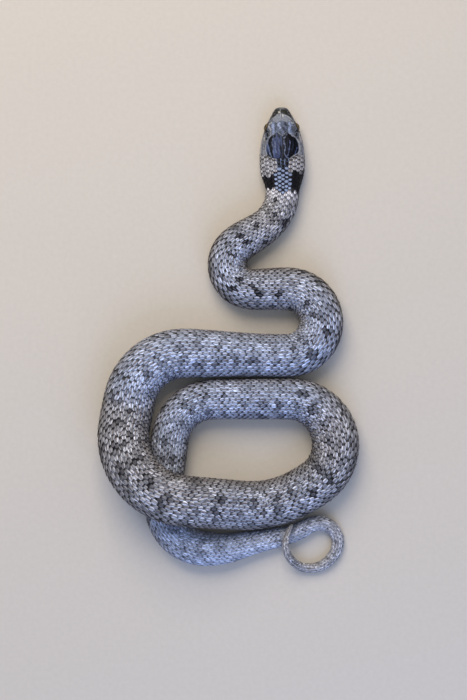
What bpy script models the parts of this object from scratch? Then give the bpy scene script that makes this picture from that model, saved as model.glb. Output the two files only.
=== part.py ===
"""A young grass snake at life size, lying in loose coils on a level floor.

The floor is z = 0, and the origin is the middle of the space that the snake takes up, on the floor.
The head lies along +Y. The body follows a route round pegs, one for each bend, and is parted by thin
cuts into head, neck, lengths of trunk and lengths of tail. The eyes are separate pieces in sockets.
"""

import bpy
import bmesh
import numpy as np
from mathutils import Matrix

MM = 0.001

# The route of the backbone seen from above, in mm. It leaves the tip of the snout, passes round one peg
# for each bend, and ends at the tip of the tail. A peg is its centre x and y, its radius, and +1 where
# the snake turns left or -1 where it turns right.
SNOUT = (17.3, 77.1)
PEGS = (
    (2.9, 49.2, 14.9, -1),  # neck
    (7.5, 24.8, 8.4, +1),
    (19.4, 5.6, 11.2, -1),
    (-14.9, -23.1, 18.5, +1),  # widest part of the trunk
    (-13.0, -31.2, 21.8, +1),
    (7.2, -21.7, 33.3, +1),
    (20.0, -35.0, 15.3, +1),
    (-5.4, -34.3, 14.4, +1),
    (-7.5, -54.9, 14.7, +1),
    (-3.7, -53.5, 16.3, +1),
    (19.4, -57.4, 7.6, +1),  # root of the tail
    (29.9, -67.5, 6.6, -1),
    (27.1, -67.8, 8.7, -1),
)
TAIL_TIP = (21.0, -61.0)
ROUTE_STEP = 0.25
EASE = 5.0  # a running mean over this length, taken twice, eases each bend into the next

# Crossings: where the upper and the lower stretch meet, as ranges of distance from the snout, the flat
# length on top of the hump, and the length of the ramp on each side of it, in mm.
CROSSINGS = (
    ((190, 240), (340, 385), 5.0, 33.0),  # trunk over trunk
    ((455, 481), (412, 442), 3.0, 15.0),  # tip of the tail over its root
)
REST_GAP = 0.35

# Sections of the body in mm: distance from the snout, width, height, share of the height at which it is
# widest, and the squareness of the upper and the lower half (2 is an ellipse, more is squarer).
SECTIONS = (
    (0.0, 1.8, 1.0, 0.50, 2.0, 2.0),
    (0.3, 3.7, 2.2, 0.50, 2.0, 2.0),
    (1.0, 5.1, 3.6, 0.45, 2.2, 2.1),
    (2.4, 6.8, 4.8, 0.42, 2.3, 2.2),
    (3.9, 8.3, 5.6, 0.40, 2.4, 2.2),
    (5.3, 9.8, 6.1, 0.39, 2.5, 2.3),
    (6.8, 11.2, 6.6, 0.38, 2.5, 2.3),
    (8.7, 12.4, 7.0, 0.38, 2.5, 2.3),
    (11.5, 14.0, 7.6, 0.38, 2.5, 2.3),
    (14.8, 14.9, 8.1, 0.38, 2.5, 2.4),
    (18.5, 15.2, 8.4, 0.38, 2.4, 2.4),
    (21.4, 14.8, 8.4, 0.40, 2.3, 2.5),
    (23.5, 13.7, 8.4, 0.41, 2.3, 2.6),
    (25.6, 12.4, 8.5, 0.42, 2.2, 2.7),
    (28.2, 11.2, 8.7, 0.44, 2.1, 2.8),
    (38.0, 11.3, 9.1, 0.44, 2.0, 3.0),
    (50.0, 12.6, 10.2, 0.43, 2.0, 3.0),
    (72.0, 13.6, 11.2, 0.43, 2.0, 3.0),
    (102.0, 14.8, 12.2, 0.43, 2.0, 3.0),
    (127.0, 14.4, 12.0, 0.43, 2.0, 3.0),
    (154.0, 16.4, 13.6, 0.43, 2.0, 3.0),
    (190.0, 17.3, 14.2, 0.43, 2.0, 3.0),
    (230.0, 16.6, 13.6, 0.43, 2.0, 3.0),
    (262.0, 15.6, 12.8, 0.43, 2.0, 3.0),
    (283.0, 15.8, 12.8, 0.43, 2.0, 3.0),
    (306.0, 13.9, 11.4, 0.43, 2.0, 3.0),
    (345.0, 13.1, 10.7, 0.43, 2.0, 3.0),
    (366.0, 12.4, 9.8, 0.43, 2.0, 3.0),
    (393.5, 11.9, 9.6, 0.43, 2.0, 2.8),
    (403.5, 10.4, 8.6, 0.43, 2.0, 2.6),
    (415.5, 7.6, 6.5, 0.44, 2.0, 2.4),
    (432.0, 5.6, 4.9, 0.45, 2.0, 2.3),
    (447.0, 4.2, 3.7, 0.46, 2.0, 2.2),
    (462.0, 3.2, 2.9, 0.47, 2.0, 2.2),
    (474.0, 2.3, 2.1, 0.48, 2.0, 2.1),
    (479.5, 1.4, 1.3, 0.50, 2.0, 2.0),
    (481.0, 0.6, 0.5, 0.50, 2.0, 2.0),
)
# The share of the height that is cut flat along the belly, which rests on the floor.
BELLY_FLAT = 0.03
# The height of the underside over the floor: the chin curves up to the tip of the snout, in mm.
CHIN = ((0.0, 2.1), (0.3, 1.4), (1.0, 0.75), (2.4, 0.25), (4.4, 0.0), (481.0, 0.0))

# The lengths that the body is cut into: name, where each begins, and the spacing of its sections, in mm.
LENGTHS = (
    ("head", 0.0, 0.9),
    ("neck", 24.5, 2.4),
    ("trunk_1", 58.0, 2.8),
    ("trunk_2", 88.0, 2.8),
    ("trunk_3", 132.0, 3.2),
    ("trunk_4", 186.0, 3.2),
    ("trunk_5", 244.0, 3.2),
    ("trunk_6", 284.0, 3.0),
    ("trunk_7", 338.0, 2.8),
    ("tail_root", 399.5, 2.2),
    ("tail_loop", 434.5, 1.8),
    ("tail_tip", 463.5, 1.6),
)
CUT_GAP = 0.35
BODY_SIDES = 18
SIDES = {"head": 28, "tail_loop": 14, "tail_tip": 12}
NOSE_RINGS = (0.12, 0.35, 0.65)  # extra sections at the tip of the snout, as shares of the first spacing

# The eyes: distance from the snout, distance from the midline and height over the floor of the middle of
# each, its radius, and half its thickness, in mm. It faces outwards, turned forward and up, in degrees.
EYE_BACK, EYE_OUT, EYE_UP, EYE_RADIUS, EYE_DEPTH = 6.8, 4.75, 4.1, 1.6, 0.9
EYE_FORWARD, EYE_UPWARD = 22, 18
SOCKET_GAP = 0.3

# Colours in linear RGB, and how rough each finish is.
BODY_GREY = (0.24, 0.26, 0.33)
HEAD_GREY = (0.13, 0.15, 0.20)
EYE_BLACK = (0.01, 0.009, 0.008)
SCALE_ROUGHNESS = 0.5
EYE_ROUGHNESS = 0.08


def tangent(start, goal):
    """Where a straight line leaves one peg and meets the next, and its heading."""
    (x0, y0, r0, turn0), (x1, y1, r1, turn1) = start, goal
    reach = np.hypot(x1 - x0, y1 - y0)
    heading = np.arctan2(y1 - y0, x1 - x0) - np.arcsin((turn1 * r1 - turn0 * r0) / reach)
    out = np.array((np.sin(heading), -np.cos(heading)))
    return np.array((x0, y0)) + turn0 * r0 * out, np.array((x1, y1)) + turn1 * r1 * out, heading


def route_in_plan():
    """Points every ROUTE_STEP along the backbone seen from above, in mm."""
    pegs = [(*SNOUT, 0.0, 1), *PEGS, (*TAIL_TIP, 0.0, 1)]
    lines = [tangent(a, b) for a, b in zip(pegs, pegs[1:])]
    pieces = []
    for index, (leave, meet, heading) in enumerate(lines):
        pieces.append(np.linspace(leave, meet, 50))
        if index + 1 == len(lines):
            break
        x, y, radius, turn = pegs[index + 1]
        swing = (turn * (lines[index + 1][2] - heading)) % (2 * np.pi)
        angle = heading + turn * np.linspace(0.0, swing, 200)
        arc = np.stack((np.sin(angle), -np.cos(angle)), axis=1)
        pieces.append(np.array((x, y)) + turn * radius * arc)
    points = evenly(np.concatenate(pieces), ROUTE_STEP)
    for _ in range(2):
        points = eased(points, round(EASE / ROUTE_STEP) // 2)
    return evenly(points, ROUTE_STEP)


def evenly(points, step):
    gaps = np.linalg.norm(np.diff(points, axis=0), axis=1)
    run = np.concatenate(([0.0], np.cumsum(gaps)))
    at = np.linspace(0.0, run[-1], round(run[-1] / step) + 1)
    return np.stack([np.interp(at, run, column) for column in points.T], axis=1)


def eased(points, reach):
    """A running mean over reach points on each side, with both ends kept."""
    before = 2 * points[0] - points[1 : reach + 1][::-1]
    after = 2 * points[-1] - points[-reach - 1 : -1][::-1]
    padded = np.concatenate((before, points, after))
    window = np.ones(2 * reach + 1) / (2 * reach + 1)
    return np.stack([np.convolve(column, window, "valid") for column in padded.T], axis=1)


def smooth_through(stations, at):
    """A smooth curve through (place, value) stations that never overshoots between two of them."""
    place, value = np.array(stations, float).T
    step = np.diff(place)
    slope = np.diff(value) / step
    tangents = np.concatenate(([slope[0]], np.zeros(len(slope) - 1), [slope[-1]]))
    same = slope[:-1] * slope[1:] > 0
    mean = 2 * slope[:-1] * slope[1:] / np.where(same, slope[:-1] + slope[1:], 1.0)
    tangents[1:-1] = np.where(same, mean, 0.0)
    index = np.clip(np.searchsorted(place, at, "right") - 1, 0, len(step) - 1)
    gap = step[index]
    t = np.clip((at - place[index]) / gap, 0.0, 1.0)
    rise = value[index] * (1 + 2 * t) * (1 - t) ** 2 + value[index + 1] * t * t * (3 - 2 * t)
    return rise + gap * t * (1 - t) * (tangents[index] * (1 - t) - tangents[index + 1] * t)


def section_at(distance):
    """Width, height, widest share, and upper and lower squareness at a distance from the snout."""
    table = np.array(SECTIONS)
    return [smooth_through(table[:, (0, column)], distance) for column in range(1, table.shape[1])]


def lift_of(plan):
    """How high the belly line is over the floor all along the route, in mm."""
    run = np.arange(len(plan)) * ROUTE_STEP
    lift = np.zeros(len(plan))
    for upper, lower, flat, ramp in CROSSINGS:
        over = np.flatnonzero((run > upper[0]) & (run < upper[1]))
        under = np.flatnonzero((run > lower[0]) & (run < lower[1]))
        apart = np.linalg.norm(plan[over][:, None] - plan[under][None], axis=2)
        row, column = np.unravel_index(apart.argmin(), apart.shape)
        top = section_at(run[under[column]])[1] + REST_GAP
        away = np.clip((abs(run - run[over[row]]) - flat / 2) / ramp, 0.0, 1.0)
        lift = np.maximum(lift, top * (1 + np.cos(np.pi * away)) / 2)
    return lift


class Body:
    """The skin of the whole snake as a function of distance from the snout and way round the section."""

    def __init__(self):
        plan = route_in_plan()
        self.run = np.arange(len(plan)) * ROUTE_STEP
        self.belly = np.column_stack((plan, lift_of(plan)))
        along = np.gradient(self.belly, axis=0)
        along /= np.linalg.norm(along, axis=1)[:, None]
        level = np.column_stack((-along[:, 1], along[:, 0], np.zeros(len(plan))))
        self.right = level / np.linalg.norm(level, axis=1)[:, None]
        self.up = np.cross(along, self.right)

    def frame(self, distance):
        """The point on the belly line, and the directions to the snake's right and up, at one distance."""
        fields = (self.belly, self.right, self.up)
        return [np.array([np.interp(distance, self.run, column) for column in field.T]) for field in fields]

    def ring(self, distance, sides):
        """Points round one section, evenly spaced along its outline, in metres."""
        width, height, widest, upper, lower = section_at(distance)
        angle = np.linspace(0.0, 2 * np.pi, 361)
        sine, cosine = np.sin(angle), np.cos(angle)
        power = 2 / np.where(cosine > 0, upper, lower)
        out = width / 2 * np.sign(sine) * abs(sine) ** power
        deep = np.where(cosine > 0, 1 - widest, widest + BELLY_FLAT)
        rise = height * np.maximum(widest + deep * np.sign(cosine) * abs(cosine) ** power, 0.0)
        outline = evenly(np.column_stack((out, rise)), 0.02)
        pick = outline[np.round(np.arange(sides) * (len(outline) - 1) / sides).astype(int)]
        middle, right, up = self.frame(distance)
        chin = smooth_through(CHIN, distance)
        return MM * (middle + pick[:, :1] * right + (pick[:, 1:] + chin) * up)


def loft(name, rings):
    """One closed solid through rings of points, each end filled by one flat face."""
    mesh = bmesh.new()
    loops = [[mesh.verts.new(point) for point in ring] for ring in rings]
    for near, far in zip(loops, loops[1:]):
        for index in range(len(near)):
            after = (index + 1) % len(near)
            mesh.faces.new((near[index], near[after], far[after], far[index]))
    mesh.faces.new(loops[0][::-1])
    mesh.faces.new(loops[-1])
    bmesh.ops.recalc_face_normals(mesh, faces=mesh.faces)
    data = bpy.data.meshes.new(name)
    mesh.to_mesh(data)
    mesh.free()
    data.shade_smooth()
    data.set_sharp_from_angle(angle=np.radians(50))
    return bpy.data.objects.new(name, data)


def material(name, colour, roughness):
    made = bpy.data.materials.new(name)
    made.use_nodes = True
    shader = made.node_tree.nodes["Principled BSDF"]
    shader.inputs["Base Color"].default_value = (*colour, 1.0)
    shader.inputs["Roughness"].default_value = roughness
    shader.inputs["Metallic"].default_value = 0.0
    return made


def add_lengths(body, parts):
    """The head, neck, trunk and tail, each a length of the one body between two cuts."""
    end = body.run[-1]
    starts = [start for _, start, _ in LENGTHS] + [end]
    for index, (name, start, spacing) in enumerate(LENGTHS):
        first = start + CUT_GAP / 2 if index else 0.0
        last = starts[index + 1] - (CUT_GAP / 2 if index + 1 < len(LENGTHS) else 0.0)
        places = np.linspace(first, last, max(2, round((last - first) / spacing)) + 1)
        if name == "head":
            places = np.concatenate((places[:1], places[1] * np.array(NOSE_RINGS), places[1:]))
        sides = SIDES.get(name, BODY_SIDES)
        piece = loft(name, [body.ring(place, sides) for place in places])
        colour = HEAD_GREY if name == "head" else BODY_GREY
        piece.data.materials.append(material(f"{name}_scales", colour, SCALE_ROUGHNESS))
        parts.objects.link(piece)


def lens(name, centre, side, spare):
    """A ball flattened along X, turned to face out of one side of the head. side is +1 on the right."""
    bpy.ops.mesh.primitive_uv_sphere_add(segments=20, ring_count=10, radius=1.0)
    made = bpy.context.object
    made.name = name
    made.data.name = name
    radius = (EYE_RADIUS + spare) * MM
    made.data.transform(Matrix.Diagonal(((EYE_DEPTH + spare) * MM, radius, radius, 1.0)))
    made.location = centre
    forward = np.radians(EYE_FORWARD if side > 0 else 180 - EYE_FORWARD)
    made.rotation_euler = (0.0, -np.radians(EYE_UPWARD), forward)
    made.data.shade_smooth()
    return made


def move_to(obj, collection):
    for holder in list(obj.users_collection):
        holder.objects.unlink(obj)
    collection.objects.link(obj)


def add_eyes(body, parts, cutters):
    """Each eye is a flattened ball in a socket that is cut from the side of the head."""
    head = bpy.data.objects["head"]
    middle, right, up = body.frame(EYE_BACK)
    for name, side in (("eye_left", -1), ("eye_right", 1)):
        centre = MM * (middle + side * EYE_OUT * right + EYE_UP * up)
        eye = lens(name, centre, side, 0.0)
        eye.data.materials.append(material(f"{name}_clear_scale", EYE_BLACK, EYE_ROUGHNESS))
        move_to(eye, parts)
        socket = lens(f"{name}_socket_cutter", centre, side, SOCKET_GAP)
        socket.hide_render = True
        socket.display_type = "WIRE"
        move_to(socket, cutters)
        cut = head.modifiers.new(f"{name}_socket", "BOOLEAN")
        cut.operation = "DIFFERENCE"
        cut.object = socket


def clear_scene():
    for obj in list(bpy.data.objects):
        bpy.data.objects.remove(obj, do_unlink=True)


def collection(name):
    made = bpy.data.collections.new(name)
    bpy.context.scene.collection.children.link(made)
    return made


clear_scene()
snake = Body()
snake_parts = collection("coiled_grass_snake")
add_lengths(snake, snake_parts)
add_eyes(snake, snake_parts, collection("cutters"))
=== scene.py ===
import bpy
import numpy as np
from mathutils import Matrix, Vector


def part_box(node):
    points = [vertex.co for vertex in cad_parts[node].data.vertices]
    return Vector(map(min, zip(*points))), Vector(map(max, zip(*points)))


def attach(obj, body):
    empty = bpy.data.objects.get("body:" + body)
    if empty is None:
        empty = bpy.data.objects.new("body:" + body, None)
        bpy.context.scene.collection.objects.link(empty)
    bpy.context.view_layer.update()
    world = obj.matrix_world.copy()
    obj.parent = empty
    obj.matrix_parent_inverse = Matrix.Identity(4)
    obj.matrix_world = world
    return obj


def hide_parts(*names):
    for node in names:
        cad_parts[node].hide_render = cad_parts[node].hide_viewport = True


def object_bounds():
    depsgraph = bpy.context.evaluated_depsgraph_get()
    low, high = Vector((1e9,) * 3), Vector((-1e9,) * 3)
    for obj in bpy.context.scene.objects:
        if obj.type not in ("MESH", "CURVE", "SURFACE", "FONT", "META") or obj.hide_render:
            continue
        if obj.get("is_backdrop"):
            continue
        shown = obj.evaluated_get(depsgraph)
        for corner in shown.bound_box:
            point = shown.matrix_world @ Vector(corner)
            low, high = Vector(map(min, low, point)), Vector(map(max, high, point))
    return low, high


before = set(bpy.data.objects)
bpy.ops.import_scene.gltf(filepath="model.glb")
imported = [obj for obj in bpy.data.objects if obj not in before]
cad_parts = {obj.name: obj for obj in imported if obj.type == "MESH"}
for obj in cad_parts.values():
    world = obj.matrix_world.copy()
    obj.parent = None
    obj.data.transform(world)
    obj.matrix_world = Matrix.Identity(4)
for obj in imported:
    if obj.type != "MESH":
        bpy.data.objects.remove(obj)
cad_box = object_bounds()

# A young grass snake at life size, resting in loose coils. The looks are built up the way the animal is:
# the course of its body, then one skin, the keeled scales of back and flanks, the belly plates, the
# shields of the head, and the eyes. Lengths are in millimetres and turn to metres as a mesh is made.

# --- Table, light and camera -------------------------------------------------------------------------
# A pale matt table top under soft studio light: a wide warm light from behind the head, a cool one from
# the tail's side and a grey room. The camera looks straight down on the coils.

MM = 0.001
TABLE_PALE, TABLE_SHADE = "#d6d1c8", "#cdc8bf"
TABLE_SIZE, TABLE_GRAIN = 3000.0, 1.5
KEY_WARM = "#fff0dc"
FILL_COOL = "#adc6ff"
ROOM_GREY, ROOM_LIGHT = "#dfe5f2", 0.45
CAMERA_HEIGHT = 700.0
BACK_HEIGHT = 8.0
SEEN_LENGTH = 231.0  # what the long side of the frame covers at the height of the snake's back
LOOK_AT = (1.4, -3.6)
SENSOR = 36.0
MAIN_SETTINGS = {  # the setting of each kind of node that is given after its name
    "Math": "operation", "VectorMath": "operation", "Mix": "data_type", "MapRange": "interpolation_type",
    "Attribute": "attribute_name", "UVMap": "uv_map", "TexWhiteNoise": "noise_dimensions",
}


def linear(hexed):
    """A colour given as sRGB hex, as the linear RGBA that a socket takes."""
    parts = np.array([int(hexed[at : at + 2], 16) / 255 for at in (1, 3, 5)])
    lin = np.where(parts <= 0.04045, parts / 12.92, ((parts + 0.055) / 1.055) ** 2.4)
    return (*(float(part) for part in lin), 1.0)


def add(tree, kind, *inputs, out=None, **named):
    """Adds a node. What follows the dot in its kind is its main setting, and a name in small letters is a
    setting too. Inputs go in order, or by socket name with _ for a space; a socket is linked and a hex
    colour made linear. It returns the output called out, or the first in use."""
    kind, _, setting = kind.partition(".")
    made = tree.nodes.new("ShaderNode" + kind)
    if setting:
        setattr(made, MAIN_SETTINGS[kind], setting)
    for name in [name for name in named if name[0].islower()]:
        setattr(made, name, named.pop(name))
    pairs = list(zip([socket for socket in made.inputs if socket.enabled], inputs))
    pairs += [(made.inputs[name.replace("_", " ")], value) for name, value in named.items()]
    for socket, value in pairs:
        if isinstance(value, bpy.types.NodeSocket):
            tree.links.new(value, socket)
        else:
            socket.default_value = linear(value) if isinstance(value, str) else value
    return next(socket for socket in made.outputs if socket.enabled and out in (None, socket.name))


def new_material(name):
    """An empty material: its node tree and its Principled shader."""
    made = bpy.data.materials.new(name)
    made.use_nodes = True
    return made, made.node_tree, made.node_tree.nodes["Principled BSDF"]


bpy.ops.mesh.primitive_plane_add(size=TABLE_SIZE * MM, location=(0.0, 0.0, 0.0))
table = bpy.context.object
table.name = "table_top"
# Matt lacquered board: even and pale, with a grain too fine to draw the eye.
lacquer, tree, shader = new_material("matt_lacquered_board")
place = add(tree, "TexCoord", out="Object")
grain = add(tree, "TexNoise", Vector=place, Scale=1 / (TABLE_GRAIN * MM), Detail=3.0)
tree.links.new(add(tree, "Mix.RGBA", grain, TABLE_PALE, TABLE_SHADE), shader.inputs["Base Color"])
shader.inputs["Roughness"].default_value = 0.75
shader.inputs["Specular IOR Level"].default_value = 0.3
table.data.materials.append(lacquer)
table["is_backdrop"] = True

for name, place_mm, turn, size, power, colour in (
    ("window_light", (-120, 420, 520), (-40, 0, 15), 0.45, 3.6, KEY_WARM),
    ("cool_light", (150, -520, 330), (58, 0, 16), 0.5, 2.1, FILL_COOL),
):
    bpy.ops.object.light_add(type="AREA", location=[value * MM for value in place_mm])
    lamp = bpy.context.object
    lamp.name = name
    lamp.rotation_euler = np.radians(turn)
    lamp.data.size = size
    lamp.data.energy = power
    lamp.data.color = linear(colour)[:3]

room = bpy.data.worlds.new("grey_room")
bpy.context.scene.world = room
room.use_nodes = True
sky = room.node_tree.nodes["Background"]
sky.inputs["Color"].default_value = linear(ROOM_GREY)
sky.inputs["Strength"].default_value = ROOM_LIGHT

bpy.ops.object.camera_add(location=(LOOK_AT[0] * MM, LOOK_AT[1] * MM, CAMERA_HEIGHT * MM))
camera = bpy.context.object
camera.name = "overhead_camera"
camera.rotation_euler = (0.0, 0.0, 0.0)
camera.data.sensor_width = SENSOR
camera.data.lens = SENSOR * (CAMERA_HEIGHT - BACK_HEIGHT) / SEEN_LENGTH
camera.data.clip_start = 0.01
camera.data.dof.use_dof = False
bpy.context.scene.camera = camera
bpy.context.scene.view_settings.view_transform = "Standard"

# --- Course of the body ------------------------------------------------------------------------------
# The backbone seen from above passes round one peg for each bend and rises where the snake lies over
# itself. With the sections, it gives any point of the body from its distance from the snout and the way
# round from the middle of the back, 0, down either flank to the middle of the belly, 1 or -1.

SNOUT = (17.3, 77.1)
PEGS = (  # centre x and y, radius, +1 where the snake turns left or -1 where it turns right
    (2.9, 49.2, 14.9, -1),
    (7.5, 24.8, 8.4, +1),
    (19.4, 5.6, 11.2, -1),
    (-14.9, -23.1, 18.5, +1),
    (-13.0, -31.2, 21.8, +1),
    (7.2, -21.7, 33.3, +1),
    (20.0, -35.0, 15.3, +1),
    (-5.4, -34.3, 14.4, +1),
    (-7.5, -54.9, 14.7, +1),
    (-3.7, -53.5, 16.3, +1),
    (19.4, -57.4, 7.6, +1),
    (29.9, -67.5, 6.6, -1),
    (27.1, -67.8, 8.7, -1),
)
TAIL_TIP = (21.0, -61.0)
STEP = 0.25
EASE = 5.0
CROSSINGS = (  # upper and lower stretch, flat length of the hump and its ramp
    ((190, 240), (340, 385), 5.0, 33.0),
    ((455, 481), (412, 442), 3.0, 15.0),
)
REST_GAP = 0.35
SECTIONS = (  # distance, width, height, widest share, upper and lower squareness
    (0.0, 1.8, 1.0, 0.50, 2.0, 2.0),
    (0.3, 3.7, 2.2, 0.50, 2.0, 2.0),
    (1.0, 5.1, 3.6, 0.45, 2.2, 2.1),
    (2.4, 6.8, 4.8, 0.42, 2.3, 2.2),
    (3.9, 8.3, 5.6, 0.40, 2.4, 2.2),
    (5.3, 9.8, 6.1, 0.39, 2.5, 2.3),
    (6.8, 11.2, 6.6, 0.38, 2.5, 2.3),
    (8.7, 12.4, 7.0, 0.38, 2.5, 2.3),
    (11.5, 14.0, 7.6, 0.38, 2.5, 2.3),
    (14.8, 14.9, 8.1, 0.38, 2.5, 2.4),
    (18.5, 15.2, 8.4, 0.38, 2.4, 2.4),
    (21.4, 14.8, 8.4, 0.40, 2.3, 2.5),
    (23.5, 13.7, 8.4, 0.41, 2.3, 2.6),
    (25.6, 12.4, 8.5, 0.42, 2.2, 2.7),
    (28.2, 11.2, 8.7, 0.44, 2.1, 2.8),
    (38.0, 11.3, 9.1, 0.44, 2.0, 3.0),
    (50.0, 12.6, 10.2, 0.43, 2.0, 3.0),
    (72.0, 13.6, 11.2, 0.43, 2.0, 3.0),
    (102.0, 14.8, 12.2, 0.43, 2.0, 3.0),
    (127.0, 14.4, 12.0, 0.43, 2.0, 3.0),
    (154.0, 16.4, 13.6, 0.43, 2.0, 3.0),
    (190.0, 17.3, 14.2, 0.43, 2.0, 3.0),
    (230.0, 16.6, 13.6, 0.43, 2.0, 3.0),
    (262.0, 15.6, 12.8, 0.43, 2.0, 3.0),
    (283.0, 15.8, 12.8, 0.43, 2.0, 3.0),
    (306.0, 13.9, 11.4, 0.43, 2.0, 3.0),
    (345.0, 13.1, 10.7, 0.43, 2.0, 3.0),
    (366.0, 12.4, 9.8, 0.43, 2.0, 3.0),
    (393.5, 11.9, 9.6, 0.43, 2.0, 2.8),
    (403.5, 10.4, 8.6, 0.43, 2.0, 2.6),
    (415.5, 7.6, 6.5, 0.44, 2.0, 2.4),
    (432.0, 5.6, 4.9, 0.45, 2.0, 2.3),
    (447.0, 4.2, 3.7, 0.46, 2.0, 2.2),
    (462.0, 3.2, 2.9, 0.47, 2.0, 2.2),
    (474.0, 2.3, 2.1, 0.48, 2.0, 2.1),
    (479.5, 1.4, 1.3, 0.50, 2.0, 2.0),
    (481.0, 0.6, 0.5, 0.50, 2.0, 2.0),
)
BELLY_FLAT = 0.03
CHIN = ((0.0, 2.1), (0.3, 1.4), (1.0, 0.75), (2.4, 0.25), (4.4, 0.0), (481.0, 0.0))
WAYS_ROUND = 48  # steps from the middle of the back to the middle of the belly


def tangent(start, goal):
    """Where a straight line leaves one peg and meets the next, and its heading."""
    (x0, y0, r0, turn0), (x1, y1, r1, turn1) = start, goal
    reach = np.hypot(x1 - x0, y1 - y0)
    heading = np.arctan2(y1 - y0, x1 - x0) - np.arcsin((turn1 * r1 - turn0 * r0) / reach)
    out = np.array((np.sin(heading), -np.cos(heading)))
    return np.array((x0, y0)) + turn0 * r0 * out, np.array((x1, y1)) + turn1 * r1 * out, heading


def evenly(points, step):
    gaps = np.linalg.norm(np.diff(points, axis=0), axis=1)
    run = np.concatenate(([0.0], np.cumsum(gaps)))
    at = np.linspace(0.0, run[-1], round(run[-1] / step) + 1)
    return np.stack([np.interp(at, run, column) for column in points.T], axis=1)


def eased(points, reach):
    """A running mean over reach points on each side, with both ends kept."""
    before = 2 * points[0] - points[1 : reach + 1][::-1]
    after = 2 * points[-1] - points[-reach - 1 : -1][::-1]
    padded = np.concatenate((before, points, after))
    window = np.ones(2 * reach + 1) / (2 * reach + 1)
    return np.stack([np.convolve(column, window, "valid") for column in padded.T], axis=1)


def route_in_plan():
    pegs = [(*SNOUT, 0.0, 1), *PEGS, (*TAIL_TIP, 0.0, 1)]
    lines = [tangent(a, b) for a, b in zip(pegs, pegs[1:])]
    pieces = []
    for index, (leave, meet, heading) in enumerate(lines):
        pieces.append(np.linspace(leave, meet, 50))
        if index + 1 == len(lines):
            break
        x, y, radius, turn = pegs[index + 1]
        swing = (turn * (lines[index + 1][2] - heading)) % (2 * np.pi)
        angle = heading + turn * np.linspace(0.0, swing, 200)
        arc = np.stack((np.sin(angle), -np.cos(angle)), axis=1)
        pieces.append(np.array((x, y)) + turn * radius * arc)
    points = evenly(np.concatenate(pieces), STEP)
    for _ in range(2):
        points = eased(points, round(EASE / STEP) // 2)
    return evenly(points, STEP)


def through(stations, at):
    """A smooth curve through (place, value) stations that never overshoots between two of them."""
    place, value = np.array(stations, float).T
    step = np.diff(place)
    slope = np.diff(value) / step
    tangents = np.concatenate(([slope[0]], np.zeros(len(slope) - 1), [slope[-1]]))
    same = slope[:-1] * slope[1:] > 0
    mean = 2 * slope[:-1] * slope[1:] / np.where(same, slope[:-1] + slope[1:], 1.0)
    tangents[1:-1] = np.where(same, mean, 0.0)
    index = np.clip(np.searchsorted(place, at, "right") - 1, 0, len(step) - 1)
    gap = step[index]
    t = np.clip((at - place[index]) / gap, 0.0, 1.0)
    rise = value[index] * (1 + 2 * t) * (1 - t) ** 2 + value[index + 1] * t * t * (3 - 2 * t)
    return rise + gap * t * (1 - t) * (tangents[index] * (1 - t) - tangents[index + 1] * t)


def section_at(distance):
    table = np.array(SECTIONS)
    return [through(table[:, (0, column)], distance) for column in range(1, table.shape[1])]


def lift_of(plan):
    """How high the belly line is over the table all along the route."""
    run = np.arange(len(plan)) * STEP
    lift = np.zeros(len(plan))
    for upper, lower, flat, ramp in CROSSINGS:
        over = np.flatnonzero((run > upper[0]) & (run < upper[1]))
        under = np.flatnonzero((run > lower[0]) & (run < lower[1]))
        apart = np.linalg.norm(plan[over][:, None] - plan[under][None], axis=2)
        row, column = np.unravel_index(apart.argmin(), apart.shape)
        top = section_at(run[under[column]])[1] + REST_GAP
        away = np.clip((abs(run - run[over[row]]) - flat / 2) / ramp, 0.0, 1.0)
        lift = np.maximum(lift, top * (1 + np.cos(np.pi * away)) / 2)
    return lift


def half_outlines(run):
    """For each section, points from the top round to the underside, and how long that way is."""
    width, height, widest, upper, lower = (value[:, None] for value in section_at(run))
    angle = np.linspace(0.0, np.pi, 241)
    sine, cosine = np.sin(angle), np.cos(angle)
    power = 2 / np.where(cosine > 0, upper, lower)
    out = width / 2 * abs(sine) ** power
    deep = np.where(cosine > 0, 1 - widest, widest + BELLY_FLAT)
    rise = height * np.maximum(widest + deep * np.sign(cosine) * abs(cosine) ** power, 0.0)
    gaps = np.hypot(np.diff(out, axis=1), np.diff(rise, axis=1))
    way = np.concatenate((np.zeros((len(run), 1)), np.cumsum(gaps, axis=1)), axis=1)
    share = np.linspace(0.0, 1.0, WAYS_ROUND + 1)
    rows = range(len(run))
    outs = np.array([np.interp(share * way[row, -1], way[row], out[row]) for row in rows])
    rises = np.array([np.interp(share * way[row, -1], way[row], rise[row]) for row in rows])
    return outs, rises + through(CHIN, run)[:, None], way[:, -1]


def unit(vectors):
    return vectors / np.maximum(np.linalg.norm(vectors, axis=-1, keepdims=True), 1e-12)


plan = route_in_plan()
run = np.arange(len(plan)) * STEP
SNAKE_LENGTH = run[-1]
belly_line = np.column_stack((plan, lift_of(plan)))
along = unit(np.gradient(belly_line, axis=0))
rightward = unit(np.column_stack((-along[:, 1], along[:, 0], np.zeros(len(plan)))))
upward = np.cross(along, rightward)
outs, rises, half_girth = half_outlines(run)
outs = np.concatenate((-outs[:, :0:-1], outs), axis=1)
rises = np.concatenate((rises[:, :0:-1], rises), axis=1)
body_points = (
    belly_line[:, None]
    + outs[:, :, None] * rightward[:, None]
    + rises[:, :, None] * upward[:, None]
)
tailward = np.gradient(body_points, STEP, axis=0)
roundward = np.gradient(body_points, axis=1)
body_normals = unit(np.cross(tailward, roundward))
stretch = np.linalg.norm(tailward, axis=2, keepdims=True)
back = slice(WAYS_ROUND // 2, WAYS_ROUND + WAYS_ROUND // 2 + 1)
crown_rate = stretch[:, back, 0].mean(axis=1)  # how much longer or shorter the back is than the belly line
stretch = stretch / crown_rate[:, None, None]
body_grid = np.concatenate((body_points, body_normals, stretch), axis=2)

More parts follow.
